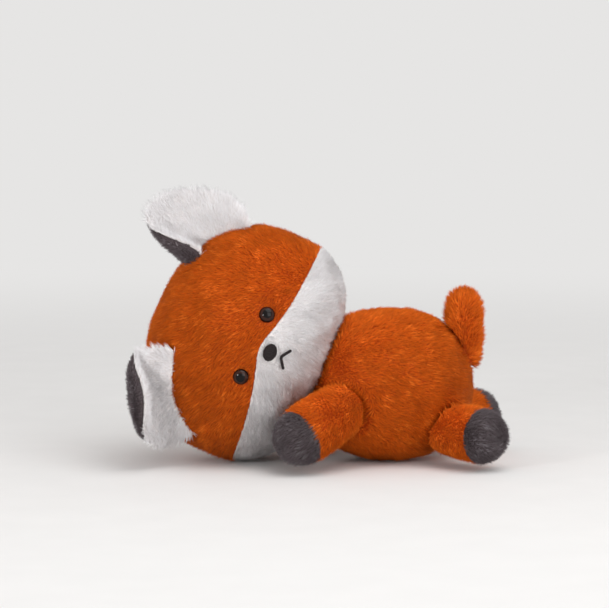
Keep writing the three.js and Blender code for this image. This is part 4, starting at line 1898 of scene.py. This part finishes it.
class Limb:
    """An arm, a leg or the tail: a stuffed stub sewn to the torso's side, where it bends."""

    clear_share: float = 0.3
    bend_start: float = 3 * MM
    bend_end: float = 17 * MM
    lump_share: float = 0.7
    nap_behind: float = 20 * MM
    nap_length: float = 0.95
    nap_lean: float = 1.35

    def __init__(
        self,
        shop: Workshop,
        shape: LimbShape,
        body: str,
        joint: str,
        reach: Vector,
        across: Vector,
        sewn_to: StuffedForm,
        beside: Sequence[StuffedForm] = (),
    ) -> None:
        """Places the limb at its joint.

        Args:
            shop: the shared finishes and tools.
            shape: its measures.
            body: the body that it rides on, which also starts its nodes' names.
            joint: its joint.
            reach: the way from the joint to the tip.
            across: its own x axis.
            sewn_to: the form that its root is pressed on.
            beside: other forms that it stays clear of.
        """
        self.shop = shop
        self.shape = shape
        self.body = body
        self.place = shop.joint_place(joint)
        axis = shop.joint_axis(joint)
        swing = {-angle * self.clear_share for angle in shop.joint_ends(joint)}
        seats = [sewn_to.swung(self.place, axis, angle) for angle in sorted(swing | {0.0})]
        self.keep_out = [*((form, SEWN_PILE) for form in seats), *((form, 0.0) for form in beside)]
        self.frame = frame_of(self.place, across, reach)
        self.form = StuffedForm(
            frame=self.frame @ Matrix.Translation((0, shape.girth, 0)),
            radius=shape.radius,
            depth=shape.radius,
            low=shape.girth + shape.root_drop,
            high=shape.length - shape.girth,
            low_round=shape.root_round,
            high_round=shape.tip_round,
        )

    def along(self, by: float) -> Vector:
        """The place some way from the joint towards the tip."""
        return self.frame @ Vector((0, by, 0))

    def solid(self, depth: float, name: str) -> bpy.types.Object:
        """The limb's solid: its form less its neighbours, and the ball of its joint.

        Args:
            depth: how far its skin is under the tips of the pile.
            name: the object's name.

        Returns:
            The solid.
        """
        made = self.form.grown(-depth).solid(name, sides=56, steps=36)
        lay_down(made, depth - PILE_DEPTH + REST_PILE)
        stuff_unevenly(made, LUMP_DEPTH * self.lump_share, LUMP_SIZE * self.lump_share)
        for other, gap in self.keep_out:
            carve(made, other.grown(depth - PILE_DEPTH + gap).solid("neighbour"), Cut.TAKE)
        root = ball(self.place, self.shape.root_radius - depth)
        return carve(made, root.solid("root", sides=40, steps=24), Cut.JOIN)

    def cap_block(self, level: float) -> bpy.types.Object:
        """The block beyond a level of the limb, where its cap is."""
        shape = bmesh.new()
        size = self.shape.length * 2
        bmesh.ops.create_cube(shape, size=size)
        bmesh.ops.translate(shape, verts=shape.verts, vec=(0, level + size / 2, 0))
        bmesh.ops.transform(shape, matrix=self.frame, verts=shape.verts)
        return object_of(shape, "cap_block")

    def build(self, covers: Sequence[tuple[str, PileFinish, Cut | None]], fluff: float = 1) -> None:
        """Makes the limb's covers.

        Args:
            covers: for each cover its name's ending, its finish and how the cap's block cuts it.
            fluff: how long its hairs are, as a share of the usual length.
        """
        level = self.shape.length - self.shape.cap_length
        nap = away_from(self.along(-self.nap_behind))
        length = everywhere(self.nap_length * fluff)

        def thickness(points: np.ndarray) -> np.ndarray:
            """Full, but for the underside and what is pressed against the torso."""
            free = [pressed_off(form, gap, points) for form, gap in self.keep_out]
            return thin_underneath(points) * np.min(free, axis=0)

        shell, whole = shell_of(self.solid, f"{self.body}_shell")
        for word, finish, how in covers:
            name = f"{self.body}_{word}"
            cloth, skin = twin(shell, f"{name}_plush"), twin(whole, f"{name}_skin")
            if how:
                gap = SEAM_GAP if how is Cut.TAKE else 0.0
                for piece in (cloth, skin):
                    carve(piece, self.cap_block(level - gap), how)
            strip_inside(skin, self.form.grown(-PILE_DEPTH))
            self.shop.grow(cloth, skin, finish, nap, thickness, length, self.nap_lean / fluff)
            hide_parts(name)
            if finish is GREY:
                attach(cloth, self.body)
            else:
                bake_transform(cloth)
            report(cloth)
        discard(shell)
        discard(whole)


class Torso:
    """The torso: a stuffed barrel with a dent for the head and sockets for the limbs."""

    height: float = 97 * MM
    width: float = 92 * MM
    sunk: float = 0.5 * MM
    rump_reach: float = 50 * MM
    neck_reach: float = 59 * MM
    socket_room: float = 0.5 * MM
    bare_in_limbs: tuple[float, float] = (-6 * MM, -3 * MM)
    crease: tuple[float, float] = (0.5 * MM, 4.5 * MM)
    crease_length: float = 0.3
    nap: Vector = Vector((1, 0, -0.3))
    nap_lean: float = 1.45

    def __init__(self, shop: Workshop) -> None:
        """Finds the torso's frame from its solid's box.

        Args:
            shop: the shared finishes and tools.
        """
        self.shop = shop
        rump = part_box("torso_cover")[1].x
        middle = Vector((rump - self.rump_reach, 0, self.height / 2 - self.sunk))
        self.form = StuffedForm(
            frame=frame_of(middle, Vector((0, 1, 0)), Vector((-1, 0, 0))),
            radius=self.width / 2,
            depth=self.height / 2,
            low=self.rump_reach,
            high=self.neck_reach,
            low_round=2.1,
            high_round=2.4,
        )

    def build(self, head: Head, limbs: Sequence[Limb]) -> None:
        """Makes the torso's cover.

        Args:
            head: the head that rests on it.
            limbs: what turns in its sockets.
        """

        def solid(depth: float, name: str) -> bpy.types.Object:
            """The torso's solid with its dent."""
            made = self.form.grown(-depth).solid(name, sides=88, steps=60)
            lay_down(made, depth - PILE_DEPTH + REST_PILE)
            stuff_unevenly(made, LUMP_DEPTH, LUMP_SIZE)
            dent = head.form.grown(depth - PILE_DEPTH + SEWN_PILE)
            return carve(made, dent.solid("dent", sides=96, steps=64), Cut.TAKE)

        cloth, skin = shell_of(solid, "torso_plush")
        for limb in limbs:
            hole = ball(limb.place, limb.shape.root_radius - PILE_DEPTH + self.socket_room)
            for piece in (cloth, skin):
                carve(piece, hole.solid("socket", sides=40, steps=24), Cut.TAKE)
        carve(cloth, head.neck_bore(), Cut.TAKE)
        strip_inside(skin, self.form.grown(-PILE_DEPTH))

        def thickness(points: np.ndarray) -> np.ndarray:
            """Full, but for the underside and where the head and the limbs press."""
            free = [smooth_share(limb.form.distance(points), *self.bare_in_limbs) for limb in limbs]
            free.append(pressed_off(head.form, SEWN_PILE, points))
            return thin_underneath(points) * np.min(free, axis=0)

        forms = [head.form, *(limb.form for limb in limbs)]

        def near(form: StuffedForm, points: np.ndarray) -> np.ndarray:
            """How close points are to a neighbour: 1 in its crease and 0 away from it."""
            return 1 - smooth_share(form.distance(points), *self.crease)

        def nap(points: np.ndarray) -> np.ndarray:
            """Towards the tail, but in the creases against what is sewn on there."""
            way = np.tile(np.array(self.nap), (len(points), 1))
            for form in forms:
                share = near(form, points)[:, None]
                way = way * (1 - share) - form.way_out(points) * share
            return way

        def length(points: np.ndarray) -> np.ndarray:
            """Longer in the creases, which it fills."""
            return 1 + self.crease_length * np.max([near(form, points) for form in forms], axis=0)

        self.shop.grow(cloth, skin, ORANGE, nap, thickness, length, self.nap_lean)
        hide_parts("torso_cover")
        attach(cloth, "torso")
        report(cloth)


@dataclass
class Fillings:
    """The loose fibre filling inside each cover.

    Attributes:
        shop: the shared finishes and tools.
        grain: the size of the grid that each filling is matted on.
        hollow: how deep its surface is uneven.
        hollow_size: how wide its hollows are.
    """

    shop: Workshop
    grain: float = 2.2 * MM
    hollow: float = 1.2 * MM
    hollow_size: float = 5 * MM

    def build(self, part: str, body: str) -> None:
        """Makes one filling from the solid that it fills.

        Args:
            part: the part of the toy that it is in.
            body: the body that it rides on.
        """
        node = f"{part}_stuffing"
        made = twin(self.shop.frame["nodes"][node], f"{part}_filling")
        made.matrix_world = Matrix.Identity(4)
        with opened(made) as shape:
            bmesh.ops.remove_doubles(shape, verts=shape.verts, dist=TOUCHING)
        step = made.modifiers.new("matted", "REMESH")
        step.mode = "VOXEL"
        step.voxel_size = self.grain
        step.use_smooth_shade = True
        settle(made)
        stuff_unevenly(made, self.hollow, self.hollow_size)
        self.shop.fit(made, FILLING.slot, node, body)


@dataclass(frozen=True)
class Lamp:
    """A square lamp.

    Attributes:
        name: its name.
        place: where it hangs.
        size: how long its sides are.
        power: how strong it is, in watts.
    """

    name: str
    place: tuple[float, float, float]
    size: float
    power: float


LAMPS = (
    Lamp("overhead", (0.4, -0.5, 1.4), 1.2, 10.5),
    Lamp("window", (-1.2, -1.5, 0.45), 0.26, 11),
    Lamp("front_fill", (0.9, -1.6, 0.7), 1.2, 12),
)


@dataclass
class Studio:
    """The camera, the lamps and the floor.

    Attributes:
        look_at: what the camera looks at.
        distance: how far away it is.
        look_down: how steeply it looks down.
        view_angle: how wide it sees.
        air_light: how strong the light from all sides is.
        backdrop: the tone behind the toy.
        floor_tones: the darker and the lighter tone of the floor.
        floor_size: half the length of its sides.
        fading: how far from the middle it starts and ends to turn into the backdrop.
    """

    look_at: Vector = Vector((-0.009, 0, 0.0982))
    distance: float = 2.0
    look_down: float = 6 * DEGREE
    view_angle: float = 10.87 * DEGREE
    air_light: float = 0.72
    backdrop: Colour = colour(230, 229, 228)
    floor_tones: tuple[Colour, Colour] = (colour(228, 227, 226), colour(233, 232, 231))
    floor_size: float = 60
    fading: tuple[float, float] = (0.25, 1.3)

    def build_camera(self) -> None:
        """Stands the camera where the toy is seen from."""
        camera = bpy.data.objects.new("camera", bpy.data.cameras.new("camera"))
        camera.data.sensor_fit = "HORIZONTAL"
        camera.data.angle = self.view_angle
        back = Vector((0, -math.cos(self.look_down), math.sin(self.look_down)))
        upright = Vector((0, math.sin(self.look_down), math.cos(self.look_down)))
        place = self.look_at + back * self.distance
        camera.matrix_world = frame_of(place, Vector((1, 0, 0)), upright)
        bpy.context.scene.collection.objects.link(camera)
        bpy.context.scene.camera = camera

    def build_lamp(self, lamp: Lamp) -> None:
        """Hangs a lamp that shines at the toy.

        Args:
            lamp: its measures.
        """
        light = bpy.data.objects.new(lamp.name, bpy.data.lights.new(lamp.name, "AREA"))
        light.data.size = lamp.size
        light.data.energy = lamp.power
        light.location = lamp.place
        aim = self.look_at - Vector(lamp.place)
        light.rotation_euler = aim.to_track_quat("-Z", "Y").to_euler()
        bpy.context.scene.collection.objects.link(light)

    def build_floor(self) -> None:
        """Lays a wide pale floor, which shows as one even tone away from the toy."""
        shape = bmesh.new()
        bmesh.ops.create_grid(shape, x_segments=4, y_segments=4, size=self.floor_size)
        floor = object_of(shape, "floor")
        material, graph, shader = material_graph("pale_floor", {"Roughness": 0.9})
        place = named(graph.add("ShaderNodeTexCoord").outputs, "Object")
        tone = graph.add("ShaderNodeValToRGB", {"Fac": graph.noise(place, 30, 2).outputs[0]})
        for stop, value in zip(tone.color_ramp.elements, self.floor_tones):
            stop.color = value
        graph.feed(shader.inputs["Base Color"], tone.outputs["Color"])
        far = graph.add("ShaderNodeVectorMath", {0: place}, operation="LENGTH").outputs["Value"]
        share = graph.number("MULTIPLY", graph.ramp(far, *self.fading), self.seen(graph))
        even = graph.put("ShaderNodeEmission", {"Color": self.backdrop, "Strength": 1.0})
        mixed = graph.put("ShaderNodeMixShader", {0: share, 1: shader.outputs["BSDF"], 2: even})
        graph.feed(graph.tree.nodes["Material Output"].inputs["Surface"], mixed)
        floor.data.materials.append(material)

    @staticmethod
    def seen(graph: Graph) -> bpy.types.NodeSocket:
        """1 for what the camera sees, straight or in a gloss or through glass, and 0 for light."""
        rays = graph.add("ShaderNodeLightPath").outputs
        both = graph.number("MAXIMUM", rays["Is Camera Ray"], rays["Is Glossy Ray"])
        return graph.number("MAXIMUM", both, rays["Is Transmission Ray"])

    def build_air(self) -> None:
        """Lights the air round the toy, and shows it in the backdrop's tone."""
        world = bpy.data.worlds.new("air")
        bpy.context.scene.world = world
        world.use_nodes = True
        graph = Graph(world.node_tree)
        backdrop = world.node_tree.nodes["Background"]
        backdrop.inputs["Color"].default_value = self.backdrop
        feeds = {"Value": self.seen(graph), "To Min": self.air_light, "To Max": 1.0}
        graph.feed(backdrop.inputs["Strength"], graph.put("ShaderNodeMapRange", feeds))

    def build(self) -> None:
        """Makes the whole studio."""
        self.build_camera()
        for lamp in LAMPS:
            self.build_lamp(lamp)
        self.build_floor()
        self.build_air()
        bpy.context.scene.view_settings.view_transform = "Standard"


def report(piece: bpy.types.Object) -> None:
    """Logs a finished piece with its number of faces."""
    log.info("%s: %d faces", piece.name, len(piece.data.polygons))


def build_limbs(shop: Workshop, head: Head, torso: Torso) -> list[Limb]:
    """Makes the arms, the legs and the tail.

    Args:
        shop: the shared finishes and tools.
        head: the head that the arms stay clear of.
        torso: what they are sewn to.

    Returns:
        The limbs and the tail.
    """
    limbs = []
    for side in Side:
        for kind, shape, cap, reach, beside in (
            ("arm", ARM, "paw", (-0.7, -0.58 * side.value, -0.4), head.through_turn()),
            ("leg", LEG, "foot", (0.76, -0.64 * side.value, -0.06), ()),
        ):
            body, way = f"{kind}_{side.word}", Vector(reach)
            across = Vector((0, 0, 1)).cross(way)
            limb = Limb(shop, shape, body, f"{body}_sweep", way, across, torso.form, beside)
            limb.build((("sleeve", ORANGE, Cut.TAKE), (cap, GREY, Cut.KEEP)))
            limbs.append(limb)
    tail = Limb(shop, TAIL, "tail", "tail_wag", Vector((0.06, 0, 1)), Vector((1, 0, 0)), torso.form)
    tail.build((("cover", ORANGE, None),), fluff=1.25)
    return [*limbs, tail]


def main() -> None:
    """Builds the toy in order, and the studio round it."""
    logging.basicConfig(level=logging.INFO, format="%(message)s")
    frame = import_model()
    Studio().build()
    shop = Workshop(frame)
    head = Head(shop)
    torso = Torso(shop)
    face = Face(shop, head)
    face.build()
    head.build(face, torso.form)
    Ear(shop, head, Side.LEFT, LEFT_EAR).build()
    Ear(shop, head, Side.RIGHT, RIGHT_EAR).build()
    torso.build(head, build_limbs(shop, head, torso))
    fillings = Fillings(shop)
    for part, body in (("torso", "torso"), ("head", "head"), ("neck", "head"), ("tail", "tail")):
        fillings.build(part, body)
    for side in Side:
        for limb in ("arm", "leg"):
            fillings.build(f"{limb}_{side.word}", f"{limb}_{side.word}")


if __name__ == "__main__":
    main()
